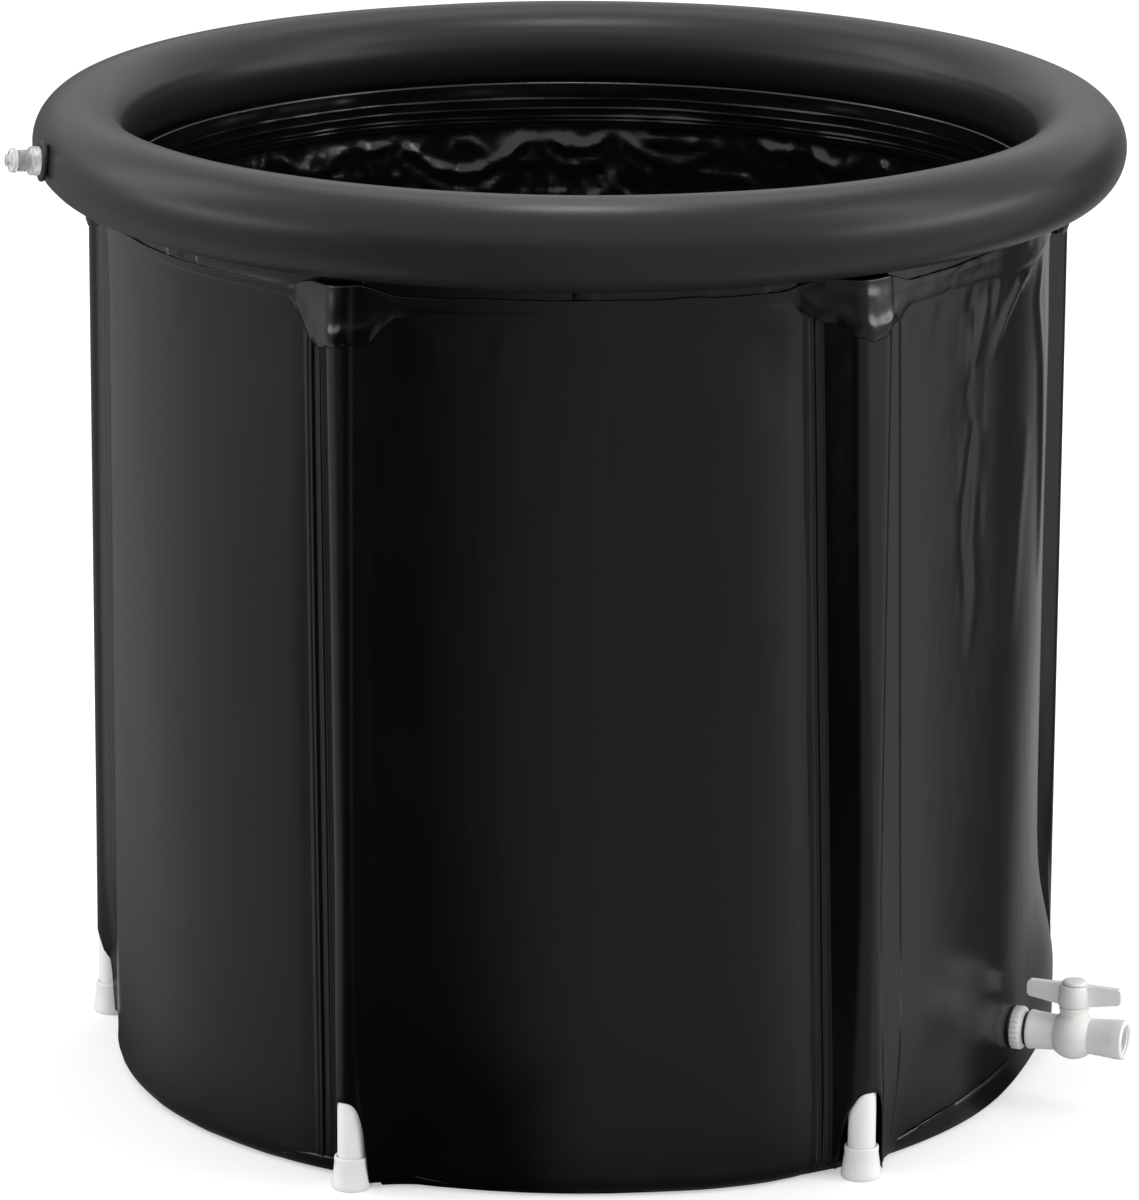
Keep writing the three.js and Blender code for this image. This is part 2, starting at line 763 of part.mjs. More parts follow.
function valveHousing() {
  const mouthRound = socketMouthRadius - edgeRound;
  const halfAngle = Math.asin(socketWaistRadius / housingRadius);
  const shell = [
    [inletMouth, 0],
    [inletMouth, mouthRound],
    [inletMouth + edgeRound, socketMouthRadius],
    ...arc(ballCentre, 0, housingRadius, Math.PI - halfAngle, halfAngle, 8),
    [outletMouth - edgeRound, socketMouthRadius],
    [outletMouth, mouthRound],
    [outletMouth, 0],
  ];
  const chamberStart = ballCentre - chamberEnd - retainerLength - fitGap;
  const threadStart = outletMouth - outletThreadDepth;
  const passage = [
    [inletMouth - fitGap, 0],
    [inletMouth - fitGap, tailHoleRadius],
    [chamberStart, tailHoleRadius],
    [chamberStart, chamberRadius],
    [ballCentre + chamberEnd, chamberRadius],
    [ballCentre + chamberEnd, portRadius],
    [threadStart, portRadius],
    [threadStart, outletThreadRadius],
    [outletMouth + fitGap, outletThreadRadius],
    [outletMouth + fitGap, 0],
  ];
  const lugAngle = stopAngle + stopWidth + stopClearance;
  const farStop = lugAngle + handleTravel + stopWidth + stopClearance;
  const stopFoot = neckTop - stopHeight;
  const stops = [stopAngle, farStop].map((angle) => stopBlock(angle, stopFoot, neckTop + stopHeight));
  const neck = rod(neckRadius, 0, neckTop, valveSegments);
  const stemHole = rod(stemRadius + sheetGap, 0, neckTop + stopHeight, valveSegments);
  const flangeSeat = rod(stemFlangeRadius + sheetGap, 0, stemSeatTop, valveSegments);
  const onAxis = (shape) => shape.translate(ballCentre, 0, 0);
  return shaped(
    turnedAlong(shell, valveSegments),
    [neck, ...stops].map(onAxis),
    [turnedAlong(passage, valveSegments), onAxis(stemHole), onAxis(flangeSeat)],
  );
}

const stemFlangeFoot = ballRadius + sheetGap;
const stemFlangeTop = stemFlangeFoot + stemFlangeThickness;
const stemSeatTop = stemFlangeTop + fitGap;
const handleFoot = neckTop + stopHeight + fitGap;
const handleTop = handleFoot + handleHubHeight;
const stemShoulder = handleFoot - fitGap;
const stemTop = stemShoulder + stemSquareLength;

function valveBall() {
  const half = Math.asin(ballBoreRadius / ballRadius);
  const outline = arc(0, 0, ballRadius, Math.PI - half, half, 8);
  const slot = new THREE.BoxGeometry(ballSlotWidth, ballRadius * 2, ballRadius);
  slot.translate(0, 0, ballSlotFloor + ballRadius / 2);
  return shaped(turnedAlong(outline, valveSegments), [], [slot]);
}

// Seat ring with a hollow face that follows the ball; side is -1 for the inlet and 1 for the outlet
function valveSeat(side) {
  const contact = ballRadius + fitGap;
  const portAngle = Math.asin(portRadius / contact);
  const lipAngle = Math.asin(seatLipRadius / contact);
  const face = arc(0, 0, contact, portAngle, lipAngle, 3);
  const [lipX] = face[face.length - 1];
  const outline = [...face, [lipX, seatRadius], [seatReach, seatRadius], [seatReach, portRadius]];
  const seat = turnedAlong(outline, valveSegments);
  if (side < 0) {
    seat.rotateZ(Math.PI);
  }
  return seat.translate(ballCentre, 0, 0);
}

function seatRetainer() {
  const end = ballCentre - chamberEnd;
  const start = end - retainerLength;
  const slot = new THREE.BoxGeometry(retainerSlotDepth * 2, chamberRadius * 2 + fitGap, retainerSlotWidth);
  slot.translate(start, 0, 0);
  return shaped(washer(start, end, portRadius, seatRadius), [], [slot]);
}

function valveStem() {
  const outline = [
    [0, stemFlangeFoot],
    [stemFlangeRadius, stemFlangeFoot],
    [stemFlangeRadius, stemFlangeTop],
    [stemRadius, stemFlangeTop],
    [stemRadius, stemGrooveHeight],
    [stemGrooveRadius, stemGrooveHeight],
    [stemGrooveRadius, stemGrooveHeight + stemGrooveWidth],
    [stemRadius, stemGrooveHeight + stemGrooveWidth],
    [stemRadius, stemShoulder],
    [0, stemShoulder],
  ];
  const bladeThickness = ballSlotWidth - 2 * fitGap;
  const bladeFoot = ballSlotFloor + fitGap;
  const bladeHeight = stemFlangeTop - bladeFoot;
  const blade = new THREE.BoxGeometry(bladeThickness, stemBladeLength, bladeHeight);
  blade.translate(0, 0, bladeFoot + bladeHeight / 2);
  const squareFoot = stemGrooveHeight + stemGrooveWidth;
  const square = new THREE.BoxGeometry(stemSquare, stemSquare, stemTop - squareFoot);
  square.translate(0, 0, (stemTop + squareFoot) / 2);
  return shaped(turned(outline, valveSegments), [blade, square], []);
}

function stemRing() {
  const centre = stemGrooveRadius + fitGap / 2 + stemRingSection;
  const ring = new THREE.TorusGeometry(centre, stemRingSection, 6, smallRingSegments);
  return closed(ring.translate(0, 0, stemGrooveHeight + stemGrooveWidth / 2));
}

// Upright outline of both wings, lower at their rounded ends than at the hub
function wingOutline() {
  const endX = handleHalfLength - handleWingRound;
  const low = handleFoot + handleWingRise + handleWingRound;
  const high = handleTop - handleWingDrop - handleWingRound;
  const rightLow = arc(endX, low, handleWingRound, -quarterTurn, 0, 3);
  const rightHigh = arc(endX, high, handleWingRound, 0, quarterTurn, 3);
  const leftHigh = arc(-endX, high, handleWingRound, quarterTurn, Math.PI, 3);
  const leftLow = arc(-endX, low, handleWingRound, Math.PI, quarterTurn * 3, 3);
  return [
    [-handleHubRadius, handleFoot],
    [handleHubRadius, handleFoot],
    ...rightLow,
    ...rightHigh,
    [handleHubRadius, handleTop],
    [-handleHubRadius, handleTop],
    ...leftHigh,
    ...leftLow,
  ];
}

function valveHandle() {
  const hub = [
    [0, handleFoot],
    [handleHubRadius, handleFoot],
    [handleHubRadius - handleHubTaper, handleTop],
    [0, handleTop],
  ];
  const lugAngle = stopAngle + stopWidth + stopClearance;
  const lug = stopBlock(lugAngle, neckTop + fitGap, handleTop - handleHubHeight / 2);
  const socketTop = stemTop + fitGap;
  const socketSide = stemSquare + 2 * fitGap;
  const socket = new THREE.BoxGeometry(socketSide, socketSide, socketTop - neckTop);
  socket.translate(0, 0, (socketTop + neckTop) / 2);
  const capHole = rod(handleCapPlugRadius + fitGap, capPlugFoot - fitGap, handleTop + fitGap, valveSegments);
  const wings = plate(wingOutline(), handleWingThickness);
  return shaped(turned(hub, valveSegments), [wings, lug], [socket, capHole]);
}

const capSeat = handleTop + fitGap;
const capPlugFoot = capSeat - handleCapPlugLength;

function handleCap() {
  const top = capSeat + handleCapThickness;
  const outline = [
    [0, capPlugFoot],
    [handleCapPlugRadius, capPlugFoot],
    [handleCapPlugRadius, capSeat],
    [handleCapRadius, capSeat],
    [handleCapRadius, top - handleCapRound],
    [handleCapRadius - handleCapRound, top],
    [0, top],
  ];
  return turned(outline, valveSegments);
}

const tub = new THREE.Group();

function addTubBody() {
  addPiece(tub, 'outer_cover', outerCover(), wallVinyl);
  addPiece(tub, 'base_panel', basePanel(), wallVinyl);
  addPiece(tub, 'insulation_floor', insulationFloor(), foam);
  rodAngles.forEach((angle, i) => {
    const next = i + 1 < rodAngles.length ? rodAngles[i + 1] : rodAngles[0] + fullTurn;
    addPiece(tub, `insulation_panel_${i + 1}`, insulationPanel(angle, next), foam);
  });
  addPiece(tub, 'inner_liner', innerLiner(), linerVinyl);
  addPiece(tub, 'inner_weld_band', innerWeldBand(), linerVinyl);
  addPiece(tub, 'hem_band', hemBand(), wallVinyl);
  addPiece(tub, 'ring_skirt', ringSkirt(), wallVinyl);
  addPiece(tub, 'ring_bladder', ringBladder(), ringVinyl);
}

function addRods() {
  rodAngles.forEach((angle, i) => {
    const pocketFrame = new THREE.Group();
    pocketFrame.rotation.z = angle + Math.PI;
    addPiece(pocketFrame, `rod_pocket_${i + 1}`, rodPocket(), wallVinyl);
    const rodFrame = radialFrame(angle, rodCentreRadius, 0);
    addPiece(rodFrame, `rod_pipe_${i + 1}`, rodPipe(), whitePlastic);
    addPiece(rodFrame, `rod_foot_${i + 1}`, rodFoot(), whitePlastic);
    addPiece(rodFrame, `rod_cap_${i + 1}`, rodCap(), whitePlastic);
    tub.add(pocketFrame, rodFrame);
  });
}

function addAirValve() {
  addPiece(airFrame, 'air_valve_gasket', airGasket(), blackRubber);
  addPiece(airFrame, 'air_valve_base', airBase(), clearPlastic);
  addPiece(airFrame, 'air_valve_body', airBody(), clearPlastic);
  addPiece(airFrame, 'air_valve_flap', airFlap(), clearPlastic);
  addPiece(airFrame, 'air_valve_cap', airCap(), clearPlastic);
  tub.add(airFrame);
}

function addDrain() {
  const innerEdge = innerGasketFace - gasketThickness;
  const innerGasket = washer(innerEdge, innerGasketFace, tailHoleRadius, innerGasketRadius);
  const outerGasket = washer(fitGap, outerGasketEnd, tailHoleRadius, outerGasketRadius);
  const socketRing = washer(socketRingFoot, socketRingEnd, tailHoleRadius, socketRingRadius);
  addPiece(drainFrame, 'drain_bulkhead', drainBulkhead(), whitePlastic);
  addPiece(drainFrame, 'drain_inner_gasket', innerGasket, blackRubber);
  addPiece(drainFrame, 'drain_outer_gasket', outerGasket, blackRubber);
  addPiece(drainFrame, 'drain_lock_nut', lockNut(), whitePlastic);
  addPiece(drainFrame, 'drain_socket_ring', socketRing, blackRubber);
  addPiece(drainFrame, 'drain_valve_body', valveHousing(), whitePlastic);
  addPiece(drainFrame, 'drain_seat_inner', valveSeat(-1), seatPlastic);
  addPiece(drainFrame, 'drain_seat_outer', valveSeat(1), seatPlastic);
  addPiece(drainFrame, 'drain_seat_retainer', seatRetainer(), whitePlastic);
  const turning = new THREE.Group();
  turning.position.x = ballCentre;
  addPiece(turning, 'drain_ball', valveBall(), whitePlastic);
  addPiece(turning, 'drain_stem', valveStem(), whitePlastic);
  addPiece(turning, 'drain_stem_ring', stemRing(), blackRubber);
  addPiece(turning, 'drain_handle', valveHandle(), whitePlastic);
  addPiece(turning, 'drain_handle_cap', handleCap(), whitePlastic);
  drainFrame.add(turning);
  tub.add(drainFrame);
}

addTubBody();
addRods();
addAirValve();
addDrain();

export default tub;
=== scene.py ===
"""Inflatable bathtub: sheet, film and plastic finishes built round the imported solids.

Sizes are millimetres until a mesh is made. An angle round the tub is in degrees from the front (-Y),
positive towards +X.
"""

import logging
import math
from collections.abc import Callable, Sequence
from dataclasses import dataclass
from enum import Enum

import bmesh
import bpy
import numpy as np
from mathutils import Matrix, Vector

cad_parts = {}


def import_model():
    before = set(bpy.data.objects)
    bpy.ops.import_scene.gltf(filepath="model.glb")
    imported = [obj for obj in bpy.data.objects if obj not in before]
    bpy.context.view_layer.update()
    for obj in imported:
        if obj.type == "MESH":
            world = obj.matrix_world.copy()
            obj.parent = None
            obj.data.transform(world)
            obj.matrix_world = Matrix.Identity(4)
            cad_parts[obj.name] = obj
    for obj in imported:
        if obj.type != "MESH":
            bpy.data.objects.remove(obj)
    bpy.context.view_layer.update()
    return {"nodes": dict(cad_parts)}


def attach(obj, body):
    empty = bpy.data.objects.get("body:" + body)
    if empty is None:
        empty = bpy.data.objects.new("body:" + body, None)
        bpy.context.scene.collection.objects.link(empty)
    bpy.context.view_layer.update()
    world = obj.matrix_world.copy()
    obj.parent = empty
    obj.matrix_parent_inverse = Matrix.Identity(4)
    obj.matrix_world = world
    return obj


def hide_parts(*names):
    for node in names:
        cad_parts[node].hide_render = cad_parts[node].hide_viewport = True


LOG = logging.getLogger("bathtub")
MM = 0.001

Array = np.ndarray
Place = Callable[[Array, Array], Array]
Outline = Sequence[tuple[float, float]]


# Shader sockets and node trees


class Value:
    """A shader socket that takes part in Python arithmetic."""

    def __init__(self, shader: "Shader", socket: bpy.types.NodeSocket) -> None:
        """Keep the socket and the shader that it belongs to."""
        self.shader = shader
        self.socket = socket

    def math(self, operation: str, *others: "Value | float") -> "Value":
        """Add a Math node.

        Args:
            operation: The node's operation.
            others: Further operands after this one.

        Returns:
            The node's result.
        """
        inputs = dict(enumerate((self, *others)))
        return self.shader.node("ShaderNodeMath", {"operation": operation}, inputs)

    def _reflected(self, operation: str, first: float) -> "Value":
        """Add a Math node whose first operand is a number."""
        return self.shader.node("ShaderNodeMath", {"operation": operation}, {0: first, 1: self})

    def __add__(self, other: "Value | float") -> "Value":
        """Sum."""
        return self.math("ADD", other)

    def __radd__(self, other: float) -> "Value":
        """Sum with a number first."""
        return self._reflected("ADD", other)

    def __sub__(self, other: "Value | float") -> "Value":
        """Difference."""
        return self.math("SUBTRACT", other)

    def __rsub__(self, other: float) -> "Value":
        """Difference from a number."""
        return self._reflected("SUBTRACT", other)

    def __mul__(self, other: "Value | float") -> "Value":
        """Product."""
        return self.math("MULTIPLY", other)

    def __rmul__(self, other: float) -> "Value":
        """Product with a number first."""
        return self._reflected("MULTIPLY", other)

    def other(self, output: str | int) -> "Value":
        """Another output of the node that this value comes from."""
        return Value(self.shader, self.socket.node.outputs[output])


class Shader:
    """The node tree of one material or of the world."""

    def __init__(self, owner: bpy.types.Material | bpy.types.World) -> None:
        """Start an empty tree.

        Args:
            owner: The material or the world.
        """
        self.owner = owner
        owner.use_nodes = True
        self.tree = owner.node_tree
        self.tree.nodes.clear()

    @classmethod
    def paint(cls, name: str) -> "Shader":
        """Start a new material of this name."""
        return cls(bpy.data.materials.new(name))

    def node(
        self,
        kind: str,
        settings: dict[str, object] | None = None,
        inputs: dict[str | int, object] | None = None,
        output: str | int = 0,
    ) -> Value | None:
        """Add any node.

        Args:
            kind: The node's type.
            settings: Properties that are set first; "stops" fills a colour ramp.
            inputs: Values or links by socket name or number.
            output: The socket that is handed back.

        Returns:
            The chosen output as a Value, or None if the node has no output.
        """
        made = self.tree.nodes.new(kind)
        for key, value in (settings or {}).items():
            if key == "stops":
                self._fill_ramp(made, value)
            else:
                setattr(made, key, value)
        for key, value in (inputs or {}).items():
            if isinstance(value, Value):
                self.tree.links.new(value.socket, made.inputs[key])
            else:
                made.inputs[key].default_value = value
        return Value(self, made.outputs[output]) if len(made.outputs) else None

    @staticmethod
    def _fill_ramp(ramp: bpy.types.Node, stops: Sequence[tuple[float, float]]) -> None:
        """Give a ramp its grey stops.

        Args:
            ramp: The ramp's node.
            stops: Places from 0 to 1 with their levels.
        """
        elements = ramp.color_ramp.elements
        while len(elements) < len(stops):
            elements.new(0.5)
        for element, (place, level) in zip(elements, stops):
            element.position = place
            element.color = grey(level)

    def place(self) -> Value:
        """Object coordinates in metres."""
        return self.node("ShaderNodeTexCoord", output="Object")

    def stretched(self, scale: tuple[float, float, float]) -> Value:
        """Object coordinates with their own scale on each axis."""
        return self.node("ShaderNodeMapping", inputs={"Vector": self.place(), "Scale": scale})

    def noise(self, scale: float, detail: float = 3.0, vector: Value | None = None) -> Value:
        """Noise from 0 to 1.

        Args:
            scale: Cells per metre.
            detail: Octaves.
            vector: Coordinates, or None for the object's.

        Returns:
            The noise's value.
        """
        inputs = {"Vector": vector or self.place(), "Scale": scale, "Detail": detail}
        return self.node("ShaderNodeTexNoise", inputs=inputs)

    def ramp(self, factor: Value, stops: Sequence[tuple[float, float]]) -> Value:
        """A grey ramp of the factor."""
        return self.node("ShaderNodeValToRGB", {"stops": stops}, {"Fac": factor})

    def mix(self, factor: Value, first: tuple, second: tuple) -> Value:
        """A colour between two others."""
        settings = {"data_type": "RGBA"}
        return self.node("ShaderNodeMix", settings, {0: factor, 6: first, 7: second}, output=2)

    def bump(
        self, height: Value, depth: float, strength: float = 1.0, normal: Value | None = None
    ) -> Value:
        """A bumped normal.

        Args:
            height: Height from 0 to 1.
            depth: What 1 stands for, in metres.
            strength: The node's strength.
            normal: A normal that this one adds to.

        Returns:
            The new normal.
        """
        inputs = {"Height": height, "Distance": depth, "Strength": strength}
        if normal is not None:
            inputs["Normal"] = normal
        return self.node("ShaderNodeBump", inputs=inputs)

    def finish(self, **inputs: object) -> bpy.types.Material:
        """Close the tree with a Principled surface.

        Args:
            inputs: Its sockets, with underscores for spaces.

        Returns:
            The finished material.
        """
        named = {key.replace("_", " "): value for key, value in inputs.items()}
        surface = self.node("ShaderNodeBsdfPrincipled", inputs=named)
        self.node("ShaderNodeOutputMaterial", inputs={"Surface": surface})
        return self.owner

    def glowing(self, level: Value, **inputs: object) -> bpy.types.Material:
        """Close the tree with a Principled surface that gives off this level of white.

        Args:
            level: The level, from 0 to 1.
            inputs: Its other sockets, with underscores for spaces.

        Returns:
            The finished material.
        """
        colour = self.mix(level, grey(0.0), grey(1.0))
        return self.finish(Emission_Color=colour, Emission_Strength=1.0, **inputs)


def grey(level: float, warmth: float = 0.0) -> tuple[float, float, float, float]:
    """A grey, a little warmer or cooler."""
    return (level * (1 + warmth), level, level * (1 - warmth), 1.0)


# Finishes


@dataclass(frozen=True)
class VinylFinish:
    """PVC film with a fine pressed grain, faint cloudiness and handling marks."""

    name: str
    colour: float
    worn_colour: float
    roughness: float
    specular: float
    grain_depth: float
    coolness: float = 0.02
    ripple_depth: float = 0.0

    def material(self) -> bpy.types.Material:
        """Build the material.

        Returns:
            The film.
        """
        shader = Shader.paint(self.name)
        cloud = shader.ramp(shader.noise(5.0, 4.0), [(0.3, 0.0), (0.75, 1.0)])
        streaks = shader.noise(26.0, 5.0, shader.stretched((1.0, 1.0, 0.16)))
        marks = shader.ramp(streaks, [(0.6, 0.0), (0.78, 1.0)])
        wear = cloud * 0.45 + marks * 0.35
        colour = shader.mix(wear, grey(self.colour, -self.coolness), grey(self.worn_colour, -self.coolness))
        roughness = self.roughness + (cloud - 0.5) * 0.07 + marks * 0.05
        grain = shader.noise(1400.0, 2.0)
        normal = shader.bump(grain, self.grain_depth, 0.35)
        if self.ripple_depth:
            waves = shader.noise(42.0, 3.0, shader.stretched((1.0, 1.0, 0.35)))
            normal = shader.bump(waves, self.ripple_depth, 1.0, normal)
        return shader.finish(
            Base_Color=colour,
            Roughness=roughness,
            Specular_IOR_Level=self.specular,
            Normal=normal,
        )


@dataclass(frozen=True)
class PlasticFinish:
    """Moulded rigid plastic with slight sink, fine scuffs and dust in random patches."""

    name: str
    colour: tuple[float, float, float]
    roughness: float

    def material(self) -> bpy.types.Material:
        """Build the material.

        Returns:
            The moulded plastic.
        """
        shader = Shader.paint(self.name)
        tone = shader.noise(38.0, 3.0)
        scuffs = shader.ramp(shader.noise(310.0, 6.0), [(0.58, 0.0), (0.74, 1.0)])
        clean = (*self.colour, 1.0)
        dusty = (*(c * 0.86 for c in self.colour), 1.0)
        colour = shader.mix(tone * 0.5 + scuffs * 0.2, clean, dusty)
        roughness = self.roughness + (tone - 0.5) * 0.12 + scuffs * 0.08
        sink = shader.bump(shader.noise(60.0, 2.0), 0.0002, 0.5)
        normal = shader.bump(shader.noise(900.0, 2.0), 0.00003, 0.4, sink)
        return shader.finish(Base_Color=colour, Roughness=roughness, Normal=normal, IOR=1.46)


@dataclass(frozen=True)
class ClearFinish:
    """Clear soft plastic, a little cloudy in random patches."""

    name: str

    def material(self) -> bpy.types.Material:
        """Build the material.

        Returns:
            The clear plastic.
        """
        shader = Shader.paint(self.name)
        cloud = shader.noise(150.0, 3.0)
        colour = shader.mix(cloud, (0.93, 0.945, 0.95, 1.0), (0.78, 0.8, 0.81, 1.0))
        roughness = 0.12 + cloud * 0.12
        normal = shader.bump(shader.noise(420.0, 2.0), 0.00005, 0.4)
        return shader.finish(
            Base_Color=colour,
            Roughness=roughness,
            Normal=normal,
            Transmission_Weight=0.72,
            IOR=1.5,
        )


@dataclass(frozen=True)
class MattFinish:
    """Rubber, foam or fluoropolymer with a fine cell or mould texture."""

    name: str
    colour: tuple[float, float, float]
    roughness: float
    cells: float
    depth: float

    def material(self) -> bpy.types.Material:
        """Build the material.

        Returns:
            The rubber, foam or fluoropolymer.
        """
        shader = Shader.paint(self.name)
        settings = {"feature": "F1"}
        inputs = {"Vector": shader.place(), "Scale": self.cells}
        cells = shader.node("ShaderNodeTexVoronoi", settings, inputs, output="Distance")
        tone = shader.noise(self.cells / 12, 3.0)
        light = (*self.colour, 1.0)
        dark = (*(c * 0.8 for c in self.colour), 1.0)
        colour = shader.mix(tone, light, dark)
        roughness = self.roughness + (tone - 0.5) * 0.08
        normal = shader.bump(cells, self.depth, 0.5)
        return shader.finish(Base_Color=colour, Roughness=roughness, Normal=normal)


class Finish(Enum):
    """The finishes, each with the record's material slot as its name."""

    RING = "ring_vinyl"
    WALL = "wall_vinyl"
    LINER = "liner_vinyl"
    FOAM = "foam"
    WHITE = "white_plastic"
    CLEAR = "clear_plastic"
    RUBBER = "black_rubber"
    SEAT = "seat_plastic"


RECIPES = {
    Finish.RING: VinylFinish("ring_film", 0.0150, 0.0190, 0.35, 0.24, 0.00006),
    Finish.WALL: VinylFinish("wall_film", 0.0014, 0.0020, 0.23, 0.48, 0.00003, ripple_depth=0.0003),
    Finish.LINER: VinylFinish("liner_film", 0.0030, 0.0040, 0.2, 0.55, 0.00001, ripple_depth=0.0009),
    Finish.FOAM: MattFinish("foam_sheet", (0.72, 0.72, 0.71), 0.9, 700.0, 0.0004),
    Finish.WHITE: PlasticFinish("white_pvc", (0.85, 0.845, 0.83), 0.36),
    Finish.CLEAR: ClearFinish("clear_pvc"),
    Finish.RUBBER: MattFinish("rubber", (0.011, 0.011, 0.012), 0.62, 1500.0, 0.00005),
    Finish.SEAT: MattFinish("fluoropolymer", (0.84, 0.83, 0.8), 0.45, 900.0, 0.00003),
}


class Wardrobe:
    """Makes each finish's material once and dresses pieces with it."""

    def __init__(self) -> None:
        """Start with nothing made."""
        self.made: dict[Finish, bpy.types.Material] = {}

    def dress(self, obj: bpy.types.Object, finish: Finish) -> None:
        """Give a piece or a CAD node its only material.

        Args:
            obj: The piece or node.
            finish: Its finish.
        """
        if finish not in self.made:
            self.made[finish] = RECIPES[finish].material()
        obj.data.materials.clear()
        obj.data.materials.append(self.made[finish])


# Fields over the sheets


def lattice(u: Array, v: Array, across: int, up: int, seed: int) -> Array:
    """Smooth noise over a sheet that closes on itself in u.

    Args:
        u: Places round the sheet, any whole number being one turn.
        v: Places up the sheet, from 0 to 1.
        across: Cells round.
        up: Cells up.
        seed: Its own seed.

    Returns:
        Values from -1 to 1.
    """
    table = np.random.default_rng(seed).uniform(-1.0, 1.0, (across, up + 2))
    x, y = np.mod(u, 1.0) * across, np.clip(v, 0.0, 1.0) * up
    i, j = np.floor(x).astype(int), np.floor(y).astype(int)
    fx, fy = (f * f * f * (f * (f * 6 - 15) + 10) for f in (x - i, y - j))
    near, far = i % across, (i + 1) % across
    low = table[near, j] * (1 - fx) + table[far, j] * fx
    high = table[near, j + 1] * (1 - fx) + table[far, j + 1] * fx
    return low * (1 - fy) + high * fy


def ridged(u: Array, v: Array, across: int, up: int, seed: int) -> Array:
    """Noise with sharp crests, from 0 to 1."""
    return 1.0 - np.abs(lattice(u, v, across, up, seed))


def step(low: float, high: float, value: Array) -> Array:
    """A smooth step from 0 at low to 1 at high."""
    t = np.clip((value - low) / (high - low), 0.0, 1.0)
    return t * t * (3 - 2 * t)


def hump(value: Array, middle: float | Array, width: float) -> Array:
    """A smooth hump of height 1."""
    return np.exp(-(((value - middle) / width) ** 2))


def round_noise(u: Array, cells: int, seed: int) -> Array:
    """Noise from -1 to 1 that changes only round a sheet."""
    return lattice(u, np.zeros_like(u), cells, 1, seed)


def turn_between(angle: Array, other: float) -> Array:
    """Signed degrees from one angle to others, from -180 to 180."""
    return np.mod(angle - other + 180.0, 360.0) - 180.0


@dataclass(frozen=True)
class Crease:
    """A fold across a sheet along points of (degrees, height)."""

    points: tuple[tuple[float, float], ...]
    width: float
    rise: float

    def lift(self, angle: Array, height: Array, radius: float) -> Array:
        """How far the fold lifts the sheet.

        Args:
            angle: Degrees round the tub.
            height: Heights above the floor.
            radius: The sheet's radius.

        Returns:
            The lift, tapering to nothing at both ends.
        """
        origin = self.points[0][0]
        scale = math.radians(1.0) * radius
        across = turn_between(angle, origin) * scale
        path = [((a - origin) * scale, z) for a, z in self.points]
        spans = list(zip(path, path[1:]))
        lengths = [math.dist(a, b) for a, b in spans]
        total, run = sum(lengths), 0.0
        nearest = np.full(angle.shape, 1e9)
        along = np.zeros(angle.shape)
        for ((ax, az), (bx, bz)), length in zip(spans, lengths):
            dx, dz = bx - ax, bz - az
            t = np.clip(((across - ax) * dx + (height - az) * dz) / length**2, 0.0, 1.0)
            gap = np.hypot(across - ax - t * dx, height - az - t * dz)
            closer = gap < nearest
            nearest = np.where(closer, gap, nearest)
            along = np.where(closer, (run + t * length) / total, along)
            run += length
        taper = np.sin(np.pi * np.clip(along, 0.0, 1.0)) ** 0.6
        return self.rise * hump(nearest, 0.0, self.width) * taper


# Mesh makers


def on_circle(angle: Array, radius: Array, height: Array) -> Array:
    """Points on circles round the tub's axis.

    Args:
        angle: Degrees round the tub.
        radius: Radii in mm.
        height: Heights in mm.

    Returns:
        A row of x, y and z in mm for each.
    """
    turn = np.radians(angle)
    heights = np.broadcast_to(height, turn.shape)
    return np.stack([radius * np.sin(turn), -radius * np.cos(turn), heights], axis=1)


def link(name: str, bm: bmesh.types.BMesh, place: Matrix | None = None) -> bpy.types.Object:
    """Turn a bmesh into a linked, smooth-shaded object at the origin.

    Args:
        name: The piece's name.
        bm: Its mesh in metres, which is freed.
        place: Where it goes, put into the mesh.

    Returns:
        The object.
    """
    if place is not None:
        bmesh.ops.transform(bm, matrix=place, verts=bm.verts)
    mesh = bpy.data.meshes.new(name)
    bm.to_mesh(mesh)
    bm.free()
    mesh.shade_smooth()
    obj = bpy.data.objects.new(name, mesh)
    bpy.context.scene.collection.objects.link(obj)
    return obj


def reshape(bm: bmesh.types.BMesh, place: Callable[[Array], Array]) -> None:
    """Move every vertex by a field of its own place.

    Args:
        bm: The mesh.
        place: New points in mm from the old ones.
    """
    points = np.array([v.co for v in bm.verts]) / MM
    for vert, point in zip(bm.verts, place(points) * MM):
        vert.co = point


def sheet_mesh(columns: int, rows: int, place: Place, inside: bool = False) -> bmesh.types.BMesh:
    """A grid laid over a curved sheet.

    Args:
        columns: Faces across.
        rows: Faces up.
        place: Points in mm from the shares across and up.
        inside: Whether the sheet is seen from the tub's inside.

    Returns:
        The mesh, joined where its edges meet.
    """
    bm = bmesh.new()
    bmesh.ops.create_grid(bm, x_segments=columns, y_segments=rows, size=0.5)
    flat = np.array([v.co for v in bm.verts])
    for vert, point in zip(bm.verts, place(flat[:, 0] + 0.5, flat[:, 1] + 0.5) * MM):
        vert.co = point
    bmesh.ops.remove_doubles(bm, verts=bm.verts, dist=1e-6)
    bmesh.ops.recalc_face_normals(bm, faces=bm.faces)
    if inside:
        bmesh.ops.reverse_faces(bm, faces=bm.faces)
    return bm


def thicken(obj: bpy.types.Object, thickness: float) -> None:
    """Give a sheet its thickness, behind the face that was made.

    Args:
        obj: The sheet.
        thickness: Its thickness in mm.
    """
    solid = obj.modifiers.new("thickness", "SOLIDIFY")
    solid.thickness = thickness * MM
    solid.offset = -1.0


